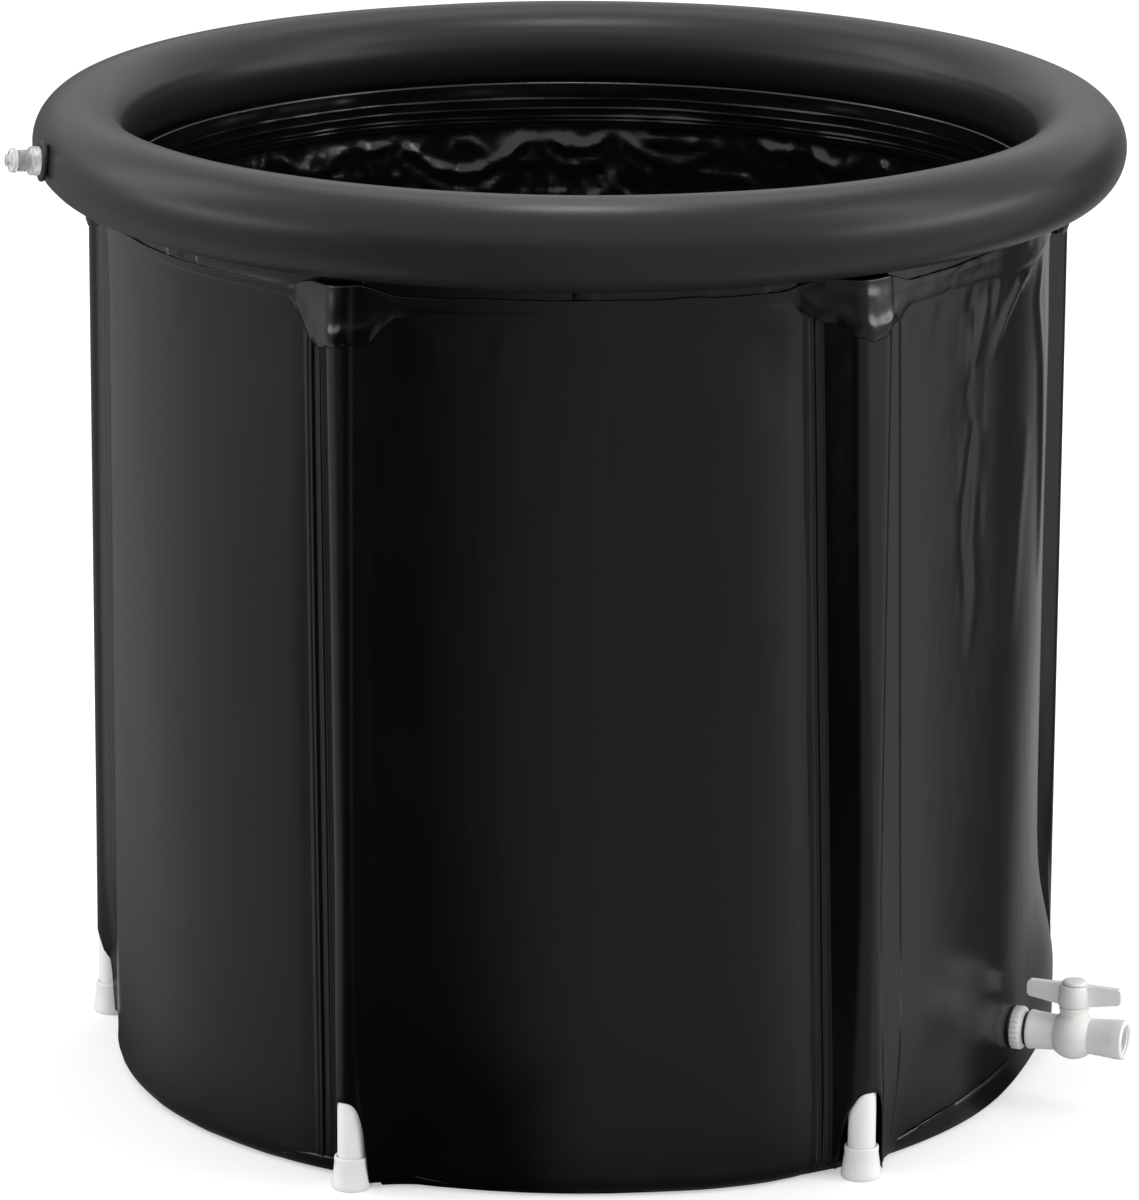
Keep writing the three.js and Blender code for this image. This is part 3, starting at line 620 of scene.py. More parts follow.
def spun(outline: Outline, segments: int = 72) -> bmesh.types.BMesh:
    """Spin an outline of (distance along X, radius) in mm round X.

    Args:
        outline: It starts and ends on the axis, or closes on itself.
        segments: Steps of the spin.

    Returns:
        The closed mesh.
    """
    bm = bmesh.new()
    verts = [bm.verts.new((x * MM, 0.0, r * MM)) for x, r in outline]
    pairs = list(zip(verts, verts[1:]))
    if outline[0][1] > 0:
        pairs.append((verts[-1], verts[0]))
    edges = [bm.edges.new(pair) for pair in pairs]
    bmesh.ops.spin(
        bm, geom=verts + edges, cent=(0, 0, 0), axis=(1, 0, 0), dvec=(0, 0, 0),
        angle=2 * math.pi, steps=segments, use_merge=True, use_duplicate=False,
    )
    bmesh.ops.remove_doubles(bm, verts=bm.verts, dist=1e-7)
    bmesh.ops.recalc_face_normals(bm, faces=bm.faces)
    return bm


def screw_thread(start: float, end: float, radius: float, pitch: float, depth: float) -> bmesh.types.BMesh:
    """A helical ridge round X.

    Args:
        start: Where the first turn begins.
        end: Where the last turn ends.
        radius: Radius of its root.
        pitch: Advance of a turn.
        depth: Height of the ridge; negative points inwards.

    Returns:
        The closed ridge.
    """
    steps_a_turn = 40
    turns = max(1.0, (end - start) / pitch - 1)
    root = radius - math.copysign(0.15, depth)
    profile = [(-0.42, root), (-0.1, radius + depth), (0.1, radius + depth), (0.42, root)]
    bm = bmesh.new()
    first = start + 0.5 * pitch
    verts = [bm.verts.new(((first + x * pitch) * MM, 0.0, r * MM)) for x, r in profile]
    face = bm.faces.new(verts)
    steps = round(turns * steps_a_turn)
    bmesh.ops.spin(
        bm, geom=[*verts, *face.edges, face], cent=(0, 0, 0), axis=(1, 0, 0),
        dvec=(pitch * MM / steps_a_turn, 0, 0), angle=2 * math.pi * turns, steps=steps,
    )
    bmesh.ops.recalc_face_normals(bm, faces=bm.faces)
    return bm


def merge(target: bmesh.types.BMesh, *others: bmesh.types.BMesh) -> bmesh.types.BMesh:
    """Add other meshes to one and free them.

    Args:
        target: The mesh that takes the others in.
        others: The meshes that are freed.

    Returns:
        The first mesh.
    """
    for other in others:
        carrier = bpy.data.meshes.new("carrier")
        other.to_mesh(carrier)
        other.free()
        target.from_mesh(carrier)
        bpy.data.meshes.remove(carrier)
    return target


def soften(obj: bpy.types.Object, width: float, segments: int = 3) -> None:
    """Round the sharp edges of a moulded piece.

    Args:
        obj: The piece.
        width: Width of the rounding in mm.
        segments: Its steps.
    """
    bevel = obj.modifiers.new("edge", "BEVEL")
    bevel.width = width * MM
    bevel.segments = segments
    bevel.limit_method = "ANGLE"
    bevel.angle_limit = math.radians(34)
    bevel.harden_normals = True


def radial(angle: float, radius: float, height: float, elevation: float = 0.0) -> Matrix:
    """A frame on a circle round the tub whose X axis points out.

    Args:
        angle: Degrees round the tub.
        radius: The circle's radius in mm.
        height: Its height in mm.
        elevation: Degrees by which the X axis is raised.

    Returns:
        The frame in metres.
    """
    turn = Matrix.Rotation(math.radians(angle - 90), 4, "Z")
    tilt = Matrix.Rotation(math.radians(-elevation), 4, "Y")
    where = on_circle(np.array([angle]), np.array([radius]), np.array([height]))[0] * MM
    return Matrix.Translation(Vector(where)) @ turn @ tilt


UPRIGHT = Matrix.Rotation(math.radians(-90), 4, "Y")


@dataclass
class Builder:
    """What every sub-assembly shares: its finishes and the way that pieces are handed over."""

    wardrobe: Wardrobe
    title = "assembly"

    def hand_over(self, obj: bpy.types.Object, body: str, finish: Finish, *nodes: str) -> bpy.types.Object:
        """Dress a piece, let it ride and stand for its nodes.

        Args:
            obj: The piece.
            body: The body that it rides on.
            finish: Its finish.
            nodes: The CAD nodes that it stands for.

        Returns:
            The piece.
        """
        self.wardrobe.dress(obj, finish)
        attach(obj, body)
        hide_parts(*nodes)
        LOG.info("%s: %s, %d faces", self.title, obj.name, len(obj.data.polygons))
        return obj

    def add(
        self, name: str, bm: bmesh.types.BMesh, place: Matrix, body: str, finish: Finish, node: str,
        edge: float = 0.0,
    ) -> None:
        """Link a moulded piece, round its edges and hand it over.

        Args:
            name: Its name.
            bm: Its mesh.
            place: Where it goes.
            body: The body that it rides on.
            finish: Its finish.
            node: The CAD node that it stands for.
            edge: Radius of its rounded edges in mm, or 0.
        """
        obj = link(name, bm, place)
        if edge:
            soften(obj, edge)
        self.hand_over(obj, body, finish, node)


@dataclass(frozen=True)
class Sleeve:
    """How one pocket lies over its rod; drifts move it along the wall from the rod's line."""

    slope: float
    seam: float = -29.0
    foot_drift: float = 0.0
    top_drift: float = 0.0
    sink_from: float = 22.0
    pull: float = 1.0


@dataclass(frozen=True)
class TubSizes:
    """The tub's main sizes."""

    ring_centre: float = 366.0
    ring_height: float = 698.0
    tube: float = 34.0
    wall: float = 345.5
    wrap: float = 345.9
    lap: float = 346.7
    cover_top: float = 670.4
    band_foot: float = 639.0
    liner: float = 336.3
    liner_floor: float = 7.6
    liner_corner: float = 24.0
    rod_circle: float = 360.3
    rods: tuple[float, ...] = (-101.0, -26.0, 35.0, 102.0, 181.5)
    sleeves: tuple[Sleeve, ...] = (
        Sleeve(62.0),
        Sleeve(168.0, -28.0, 4.5, -2.5, 0.0),
        Sleeve(150.0, -24.0, 7.0, -9.5, 24.0, 5.0),
        Sleeve(70.0),
        Sleeve(90.0, -28.0, 1.5, -2.5),
    )
    drain_angle: float = 69.5
    drain_height: float = 55.0
    air_valve_angle: float = -74.0
    slump_angle: float = 90.0
    corner_depth: float = 11.0

    def _nearest(self, angle: Array) -> tuple[Array, Array]:
        """Find the nearest rod.

        Args:
            angle: Degrees round the tub.

        Returns:
            Its number from 0, and the signed mm along the wall from it.
        """
        gaps = np.stack([turn_between(angle, rod) for rod in self.rods])
        pick = np.argmin(np.abs(gaps), axis=0)
        return pick, np.take_along_axis(gaps, pick[None], axis=0)[0] * math.radians(self.wall)

    def drift(self, pick: Array | int, height: Array) -> Array:
        """How far a sleeve, or the nearest one, has moved along the wall at a height.

        Args:
            pick: The sleeve's number from 0.
            height: Heights above the floor.

        Returns:
            The distance from the rod's line.
        """
        foot = np.array([sleeve.foot_drift for sleeve in self.sleeves])[pick]
        top = np.array([sleeve.top_drift for sleeve in self.sleeves])[pick]
        return foot + (top - foot) * np.clip((height - 60.0) / 560.0, 0.0, 1.05)

    def beside_rod(self, angle: Array, height: Array) -> Array:
        """Signed mm along the wall from the nearest sleeve's line."""
        pick, gap = self._nearest(angle)
        return gap - self.drift(pick, height)

    def cover(self, angle: Array, height: Array, tent: "Tent") -> Array:
        """Height above the wall of a sheet drawn over the nearest rod.

        Args:
            angle: Degrees round the tub.
            height: Heights above the floor.
            tent: The cross-section of the drawn sheet.

        Returns:
            The height.
        """
        pick, gap = self._nearest(angle)
        drift = self.drift(pick, height)
        slope = np.array([sleeve.slope for sleeve in self.sleeves])[pick]
        seam = np.array([sleeve.seam for sleeve in self.sleeves])[pick]
        return tent.rise(gap - drift, height, slope, seam - tent.overlap, -drift)

    def drawn_in(self, angle: Array, height: Array) -> Array:
        """How the nearest sleeve draws the wall in on its left, so that it swells before it.

        Args:
            angle: Degrees round the tub.
            height: Heights above the floor.

        Returns:
            The swelling.
        """
        pick, gap = self._nearest(angle)
        across = gap - self.drift(pick, height)
        swell = np.array([sleeve.pull for sleeve in self.sleeves])[pick]
        share = np.clip((across + 95.0) / 53.0, 0.0, 1.0)
        return swell * step(-190.0, -95.0, across) * (1 - share**2)

    def slump(self, angle: Array, height: Array) -> Array:
        """How far the soft foot of the wall sags outwards beside the drain.

        Args:
            angle: Degrees round the tub.
            height: Heights above the floor.

        Returns:
            The distance.
        """
        side = hump(turn_between(angle, self.slump_angle), 0.0, 10.5)
        above = hump(np.maximum(height - 65.0, 0.0), 0.0, 58.0)
        return 15.0 * side * above * (0.5 + 0.5 * step(0.0, 30.0, height))

    @staticmethod
    def corner_height(angle: Array) -> Array:
        """Height in mm of the turned-under foot, which is slack beside the drain."""
        return 12.0 + 22.0 * step(39.0, 52.0, angle) * (1 - step(84.0, 100.0, angle))


@dataclass(frozen=True)
class Tent:
    """Cross-section of a sheet over a rod: steep on its left, easing off slowly on its right."""

    centre: float = -2.5
    axis_rise: float = 13.8
    crown: float = 11.6
    hollow: float = 0.6
    overlap: float = 0.0
    foot_slope: float = 50.0

    def rise(self, across: Array, height: Array, slope: Array, seam: Array, pipe: Array) -> Array:
        """Height of the sheet above the wall.

        Args:
            across: Distance beside the sleeve's line.
            height: Height above the floor, near which the slope is short.
            slope: Length of the slope on the right.
            seam: Where the sheet leaves the wall on the left.
            pipe: Where the pipe's axis is.

        Returns:
            The height.
        """
        first, last = np.minimum(self.centre, pipe), np.maximum(self.centre, pipe)
        span = first - seam
        leaning = np.arccos(np.minimum(self.crown / np.hypot(span, self.axis_rise), 1.0))
        contact = np.arctan2(-self.axis_rise, span) + leaning
        foot_x = self.crown * np.cos(contact)
        foot_y = self.axis_rise + self.crown * np.sin(contact)
        left, right = first - across, across - last
        beyond = np.maximum(np.maximum(left, right), 0.0)
        arch = self.axis_rise + np.sqrt(np.maximum(self.crown**2 - beyond**2, 0.0))
        t = np.clip((left - foot_x) / np.maximum(span - foot_x, 0.1), 0.0, 1.0)
        flank = foot_y * (1 - t) - self.hollow * np.sin(np.pi * t)
        steep = np.where(left < foot_x, arch, np.where(left < span, flank, 0.0))
        foot_slope = np.minimum(self.foot_slope, slope * 0.55)
        reach = foot_slope + (slope - foot_slope) * step(5.0, 130.0, height)
        share = np.clip(1 - right / (reach - last), 0.0, 1.0)
        gentle = (self.axis_rise + self.crown) * share**2
        easing = np.maximum(gentle, np.where(right < self.crown, arch, 0.0))
        lean = 1 - 0.08 * step(628.0, 664.0, height)
        return lean * np.where(across < first, steep, easing)


TUB = TubSizes()
TENT = Tent()
FLAP = Tent(crown=12.4, hollow=1.2, overlap=20.0)


@dataclass
class Shell(Builder):
    """The outer wall, base, pockets, hem and skirt."""

    wall_columns: int = 485
    wall_rows: int = 100
    pocket_columns: int = 84
    pocket_rows: int = 150
    pocket_edge: float = 30.5
    pocket_top: float = 641.0
    arch_half: float = 13.6
    arch_foot: float = 5.0
    arch_rise: float = 61.0
    hem_top: float = 654.0
    skirt_foot: float = 645.0
    skirt_rise: float = 26.0
    skirt_tabs: tuple[float, ...] = (-57.4, -54.2, -51.0)
    title = "shell"
    hem_feet: tuple[tuple[float, float], ...] = (
        (-171.0, 636.0), (-108.5, 638.0), (-104.0, 622.0), (-101.5, 614.0), (-98.0, 620.0),
        (-95.0, 634.0), (-92.0, 638.0), (-41.4, 640.0), (-35.3, 639.0), (-33.8, 628.0),
        (-31.6, 612.0), (-29.8, 612.0), (-27.7, 616.0), (-25.2, 618.0), (-23.0, 620.0),
        (-21.9, 632.0), (-20.5, 640.0), (22.6, 640.0), (25.5, 643.0), (28.4, 633.0),
        (30.0, 630.0), (31.7, 621.0), (33.4, 617.0), (35.0, 620.0), (36.7, 627.0),
        (37.8, 629.0), (38.6, 634.0), (39.8, 637.0), (45.3, 637.5), (50.7, 636.5),
        (59.6, 633.0), (64.8, 631.0), (73.1, 631.0), (84.7, 636.0), (94.7, 634.0),
        (96.5, 622.0), (99.0, 614.0), (101.5, 618.0), (104.0, 622.0), (106.0, 632.0),
        (109.0, 638.0), (174.0, 637.0), (177.0, 624.0), (179.5, 612.0), (182.0, 616.0),
        (186.0, 622.0), (189.0, 636.0),
    )
    creases: tuple[Crease, ...] = (
        Crease(((80.5, 642.0), (71.0, 631.0), (66.1, 622.0), (62.0, 603.0), (58.8, 578.0)), 3.2, 3.4),
        Crease(((57.5, 640.0), (57.2, 620.0), (55.8, 600.0), (54.0, 576.0)), 3.8, 1.6),
        Crease(((78.0, 645.0), (74.0, 600.0), (76.8, 550.0), (78.0, 480.0), (79.0, 380.0)), 8.0, 2.4),
        Crease(((61.0, 640.0), (60.0, 622.0), (59.0, 606.0)), 3.0, 1.3),
        Crease(((70.4, 515.0), (67.3, 445.0), (65.5, 358.0)), 12.0, 1.2),
        Crease(
            ((53.5, 572.0), (52.8, 556.0), (54.5, 528.0), (52.8, 494.0), (52.0, 451.0), (53.3, 405.0)),
            3.4, -1.3,
        ),
        Crease(((56.0, 500.0), (54.5, 450.0), (55.5, 405.0), (54.0, 360.0)), 6.0, 0.8),
        Crease(((-78.0, 640.0), (-76.5, 560.0), (-77.5, 460.0)), 3.5, 0.7),
        Crease(((60.4, 13.0), (67.6, 22.0), (79.6, 19.0)), 4.0, 1.6),
    )

    @staticmethod
    def _seen(angle: Array) -> Array:
        """Where the hem's lower edge shows: beside each rod and on the panel next to the drain.

        Args:
            angle: Degrees round the tub.

        Returns:
            1 where it shows, 0 elsewhere.
        """
        gap = np.min(np.stack([np.abs(turn_between(angle, rod - 1.5)) for rod in TUB.rods]), axis=0)
        front = turn_between(angle, 0.0)
        return np.maximum(1 - step(6.5, 9.5, gap), step(36.0, 40.0, front) * (1 - step(82.0, 90.0, front)))

    @staticmethod
    def _left_panel(angle: Array, start: float) -> Array:
        """1 over the panel on the left of the front, which begins at a start angle."""
        front = turn_between(angle, 0.0)
        return step(start, -36.0, front) * step(-110.0, -96.0, front)

    def _wall_lift(self, angle: Array, height: Array) -> Array:
        """How far the wall's film stands out from its round form.

        Args:
            angle: Degrees round the tub.
            height: Heights above the floor.

        Returns:
            The distance.
        """
        u, v = angle / 360.0, height / 671.0
        across = TUB.beside_rod(angle, height)
        free = np.where(across < 0, step(42.0, 66.0, -across), step(34.0, 60.0, across))
        calm = 0.6 * lattice(u, v, 13, 2, 11) + 0.25 * lattice(u, v, 31, 5, 12)
        top = step(575.0, 650.0, height)
        gathers = top * (0.9 * ridged(u, v, 61, 4, 13) - 0.6 + 0.4 * lattice(u, v, 110, 7, 14))
        foot = np.exp(-height / 22.0)
        folds = 1.2 * ridged(u, v * 6.0 % 1.0, 37, 5, 15) - 0.8 + 0.5 * lattice(u, v, 90, 60, 16)
        pull = hump(across, -49.0, 7.5) * (1.4 + 0.3 * lattice(u, v, 60, 7, 17))
        column = hump(turn_between(angle, 54.0), 0.0, 3.2) * step(380.0, 470.0, height)
        dimples = column * (0.7 * lattice(u, v, 160, 34, 18) - 0.7 * ridged(u, v, 130, 20, 19) ** 4)
        puckered = hump(turn_between(angle, 55.0), 0.0, 9.0) * hump(height, 628.0, 9.0)
        puckers = 1.3 * puckered * lattice(u, v, 210, 30, 20)
        lifted = calm + gathers + foot * folds + pull + dimples + puckers
        for crease in self.creases:
            lifted = lifted + crease.lift(angle, height, TUB.wall)
        under_hem = 1 - step(622.0, 634.0, height)
        tent = TUB.cover(angle, height, TENT)
        drawn_out = np.where(across > 10.5, tent * step(10.5, 14.5, across), 0.0)
        over_hem = 0.9 * step(580.0, 636.0, height) * (1 - step(646.0, 649.5, height))
        hiding = over_hem * (1 - self._seen(angle))
        swollen = TUB.drawn_in(angle, height) * (1 - step(560.0, 640.0, height))
        beside_drain = turn_between(angle, TUB.drain_angle) * math.radians(TUB.wall)
        at_drain = hump(np.hypot(beside_drain, height - TUB.drain_height), 0.0, 24.0)
        loose = lifted * free * under_hem * (1 - at_drain)
        return drawn_out - 0.3 + hiding + swollen + loose + 1.3 * at_drain + TUB.slump(angle, height)

    @staticmethod
    def _columns(u: Array) -> Array:
        """Place the wall's columns, closer beside a sleeve and where the wall is creased.

        Args:
            u: Shares round the tub.

        Returns:
            Their angles in degrees.
        """
        angle = np.linspace(-180.0, 180.0, 3601)
        across = TUB.beside_rod(angle, np.full(angle.shape, 340.0))
        creased = step(42.0, 48.0, angle) * (1 - step(82.0, 88.0, angle))
        density = 1.0 + 3.0 * hump(across, 16.0, 26.0) + creased
        total = np.concatenate([[0.0], np.cumsum(0.5 * (density[1:] + density[:-1]))])
        return np.interp(u * total[-1], total, angle)

    def wall(self) -> None:
        """Make the outer wall's sheet."""

        def place(u: Array, v: Array) -> Array:
            """Points of the outer wall, its foot turned under.

            Args:
                u: Shares across the sheet.
                v: Shares up or outwards.

            Returns:
                Points in mm.
            """
            angle = self._columns(u)
            height = 0.8 + 669.2 * (v - 0.07 * np.sin(2 * np.pi * v))
            lift = self._wall_lift(angle, height)
            curl = np.clip(1 - height / TUB.corner_height(turn_between(angle, 0.0)), 0.0, 1.0)
            tuck = TUB.corner_depth * (1 - np.sqrt(1 - curl**2))
            return on_circle(angle, TUB.wall - 0.1 + lift - tuck, height)

        obj = link("outer_wall", sheet_mesh(self.wall_columns, self.wall_rows, place))
        thicken(obj, 0.8)
        self.hand_over(obj, "tub", Finish.WALL, "outer_cover")

    @staticmethod
    def _lap_height(angle: Array) -> Array:
        """Height of the base's welded lap, which shows only in places.

        Args:
            angle: Degrees round the tub.

        Returns:
            The height.
        """
        marks = [-180, -120, -60, -40, -34, -27, -22, -14, -5, 32, 37, 46, 58, 68, 80, 95, 120, 180]
        heights = [6, 3, 1, 3, 13, 15, 12, 5, 2, 2, 9, 18, 28, 33, 31, 22, 8, 6]
        smooth = np.interp(turn_between(angle, 0.0), marks, heights)
        return smooth + 0.5 * round_noise(angle / 360.0, 70, 21)

    def base(self) -> None:
        """Make the base sheet with its turned-up lap."""

        def place(u: Array, v: Array) -> Array:
            """Points of the base, from its middle out round the corner and up its lap.

            Args:
                u: Shares across the sheet.
                v: Shares up or outwards.

            Returns:
                Points in mm.
            """
            angle = 180.0 + 360.0 * u
            corner = TUB.corner_height(turn_between(angle, 0.0))
            flat = TUB.lap - TUB.corner_depth
            top = self._lap_height(angle)
            most = np.arccos(np.clip(1 - top / corner, 0.0, 1.0))
            turn = np.clip((v - 0.5) / 0.25, 0.0, 1.0) * most
            climb = np.clip((v - 0.75) / 0.25, 0.0, 1.0)
            height = corner * (1 - np.cos(turn)) + climb * np.maximum(top - corner, 0.0)
            radius = np.where(v < 0.5, flat * v / 0.5, flat + TUB.corner_depth * np.sin(turn))
            radius = radius + TUB.slump(angle, height) * np.clip((v - 0.4) / 0.1, 0.0, 1.0)
            tucked = 2.2 * (1 - step(3.0, 10.0, top)) * np.clip((v - 0.5) / 0.2, 0.0, 1.0)
            close = climb**3 * 0.7 + tucked
            share = np.clip((v - 0.45) / 0.5, 0.0, 1.0)
            ripple = 0.5 * share * lattice(u, v, 64, 6, 22) + 0.3 * share * lattice(u, v, 150, 8, 23)
            clear = step(16.0, 40.0, np.abs(TUB.beside_rod(angle, height)))
            return on_circle(angle, radius - close + (ripple - 0.2) * clear, height)

        obj = link("base_sheet", sheet_mesh(360, 40, place))
        thicken(obj, 0.5)
        self.hand_over(obj, "tub", Finish.WALL, "base_panel")

    def _pocket_rise(self, across: Array, height: Array, number: int) -> Array:
        """What one pocket's sheet adds to the drawn cross-section: slack, puckers and weld lines.

        Args:
            across: Distance beside the sleeve's line.
            height: Heights above the floor.
            number: The rod's number.

        Returns:
            The height over the cross-section.
        """
        sleeve = TUB.sleeves[number - 1]
        from_seam = across - sleeve.seam
        u, v = across / 90.0 + 0.5, height / 671.0
        seed = 100 * number
        left = hump(from_seam, 9.0, 6.0)
        right = hump(across, 18.0, 9.0)
        waves = lattice(u, v, 4, 6, seed) * 1.0 + lattice(u, v, 6, 13, seed + 1) * 0.4
        top = step(540.0, 628.0, height)
        loose = (left + 0.1 * right) * waves
        puckers = left * top * 1.0 * lattice(u, v, 8, 40, seed + 2)
        wander = 0.5 * lattice(np.full_like(v, 0.2), v, 2, 5, seed + 3)
        lines = ((-14.5, -0.3), (-12.0, 0.35), (-8.4, 0.8), (-5.5, -0.4), (-1.4, 0.7))
        welds = sum(rise * hump(from_seam - line, wander, 0.85) for line, rise in lines)
        sink = 1.2 * step(sleeve.sink_from, 30.5, across) + 0.8 * step(-14.0, -16.0, from_seam)
        return loose + puckers + welds - sink

    def pocket(self, number: int, rod: float) -> None:
        """Make one rod's pocket, its foot cut to a narrow arch.

        Args:
            number: The rod's number.
            rod: Its angle.
        """
        sleeve = TUB.sleeves[number - 1]
        left = sleeve.seam - 16.0

        def place(u: Array, v: Array) -> Array:
            """Points of the pocket, from the arch at its foot to its top.

            Args:
                u: Shares across the sheet.
                v: Shares up or outwards.

            Returns:
                Points in mm.
            """
            across = left + (self.pocket_edge - left) * u
            beside = np.clip(np.abs(across + sleeve.foot_drift + 0.5) / self.arch_half, 0.0, 1.0)
            foot = self.arch_foot + self.arch_rise * (1 - beside**3.6) ** (1 / 2.6)
            share = v + 0.03 * np.sin(2 * np.pi * v)
            height = foot + (self.pocket_top - foot) * share
            angle = rod + np.degrees((across + TUB.drift(number - 1, height)) / TUB.wall)
            rise = TUB.cover(angle, height, TENT) + self._pocket_rise(across, height, number)
            clear = TUB.slump(angle, height) * step(10.0, 16.0, np.abs(across))
            curl = np.clip(1 - height / 12.0, 0.0, 1.0)
            tuck = 12.0 * (1 - np.sqrt(1 - curl**2)) * step(14.0, 22.0, np.abs(across))
            return on_circle(angle, TUB.wall + 0.4 + rise + clear - tuck, height)

        obj = link(f"pocket_{number}", sheet_mesh(self.pocket_columns, self.pocket_rows, place))
        thicken(obj, 0.7)
        self.hand_over(obj, "tub", Finish.WALL, f"rod_pocket_{number}")

    def hem(self) -> None:
        """Make the hem band, which lies crumpled over the pocket tops."""
        degrees, feet = np.array(self.hem_feet).T

        def place(u: Array, v: Array) -> Array:
            """Points of the hem, drawn over the rods and crumpled where it shows.

            Args:
                u: Shares across the sheet.
                v: Shares up or outwards.

            Returns:
                Points in mm.
            """
            angle = 360.0 * u - 171.0
            foot_line = np.interp(angle, degrees, feet)
            across = TUB.beside_rod(angle, foot_line)
            near = 1 - step(18.0, 50.0, np.abs(across + 8.0))
            seen = self._seen(angle)
            ragged = 0.6 * round_noise(u, 90, 31) + (0.5 + 1.0 * near) * round_noise(u, 260, 38)
            foot = foot_line + seen * ragged
            top = self.hem_top - 4.8 * self._left_panel(angle, -20.0) + 8.5 * near
            top = top + 0.6 * round_noise(u, 90, 32)
            height = foot + (top - foot) * v
            over = np.maximum(TUB.cover(angle, height, TENT), TUB.cover(angle, height, FLAP))
            up = height - foot
            roll = near * (0.9 * hump(up, 9.0, 6.5) - 0.9 * hump(up, 0.0, 3.2))
            lip = -0.6 * hump(up, 0.0, 2.2) - (1 - seen) * 1.6 * (1 - step(0.0, 0.5, v))
            gathers = 0.5 * ridged(u, v, 71, 2, 33) - 0.3 + 0.25 * lattice(u, v, 170, 3, 34)
            gathers = gathers * step(0.05, 0.6, v)
            slant = u + 0.0045 * (across / 20.0) * (1 - v)
            pinch = 0.55 * lattice(slant, v, 110, 2, 35) + 0.5 * ridged(slant, v, 120, 2, 36) ** 2 - 0.3
            pinch = near * pinch
            crumple = near * 0.22 * lattice(slant, v, 300, 4, 39) * hump(up, 0.0, 16.0)
            curl = near * 0.8 * hump(up, 0.0, 3.4) * np.maximum(round_noise(u, 230, 37), -0.15)
            loose = seen * (gathers + pinch * step(0.0, 0.15, v) + crumple + curl + roll)
            return on_circle(angle, TUB.wall + 1.3 + over + loose + lip, height)

        obj = link("hem", sheet_mesh(1400, 26, place))
        thicken(obj, 0.5)
        self.hand_over(obj, "tub", Finish.WALL, "hem_band")

    def skirt(self) -> None:
        """Make the gathered strip between the hem and the ring."""

        def place(u: Array, v: Array) -> Array:
            """Points of the skirt, which leans out towards the ring.

            Args:
                u: Shares across the sheet.
                v: Shares up or outwards.

            Returns:
                Points in mm.
            """
            angle = 180.0 + 360.0 * u
            height = self.skirt_foot + self.skirt_rise * v
            ruffle = 1.7 * lattice(u, v, 170, 2, 41) + 1.2 * ridged(u, v, 110, 2, 42) - 0.8
            ruffle = np.sin(np.pi * v) * ruffle * (1 - 0.6 * self._left_panel(angle, -24.0))
            out = 4.5 * step(0.68, 1.0, v)
            slanted = turn_between(angle, 0.0) + 1.5 * v
            tabs = sum(1.6 * np.exp(-(((slanted - at) / 0.45) ** 4)) for at in self.skirt_tabs)
            return on_circle(angle, TUB.wrap - 1.2 + ruffle + out + tabs, height)

        obj = link("skirt", sheet_mesh(1000, 14, place))
        thicken(obj, 0.6)
        self.hand_over(obj, "tub", Finish.WALL, "ring_skirt")

    def build(self) -> None:
        """Make every piece of the shell."""
        self.base()
        self.wall()
        for number, rod in enumerate(TUB.rods, start=1):
            self.pocket(number, rod)
        self.hem()
        self.skirt()


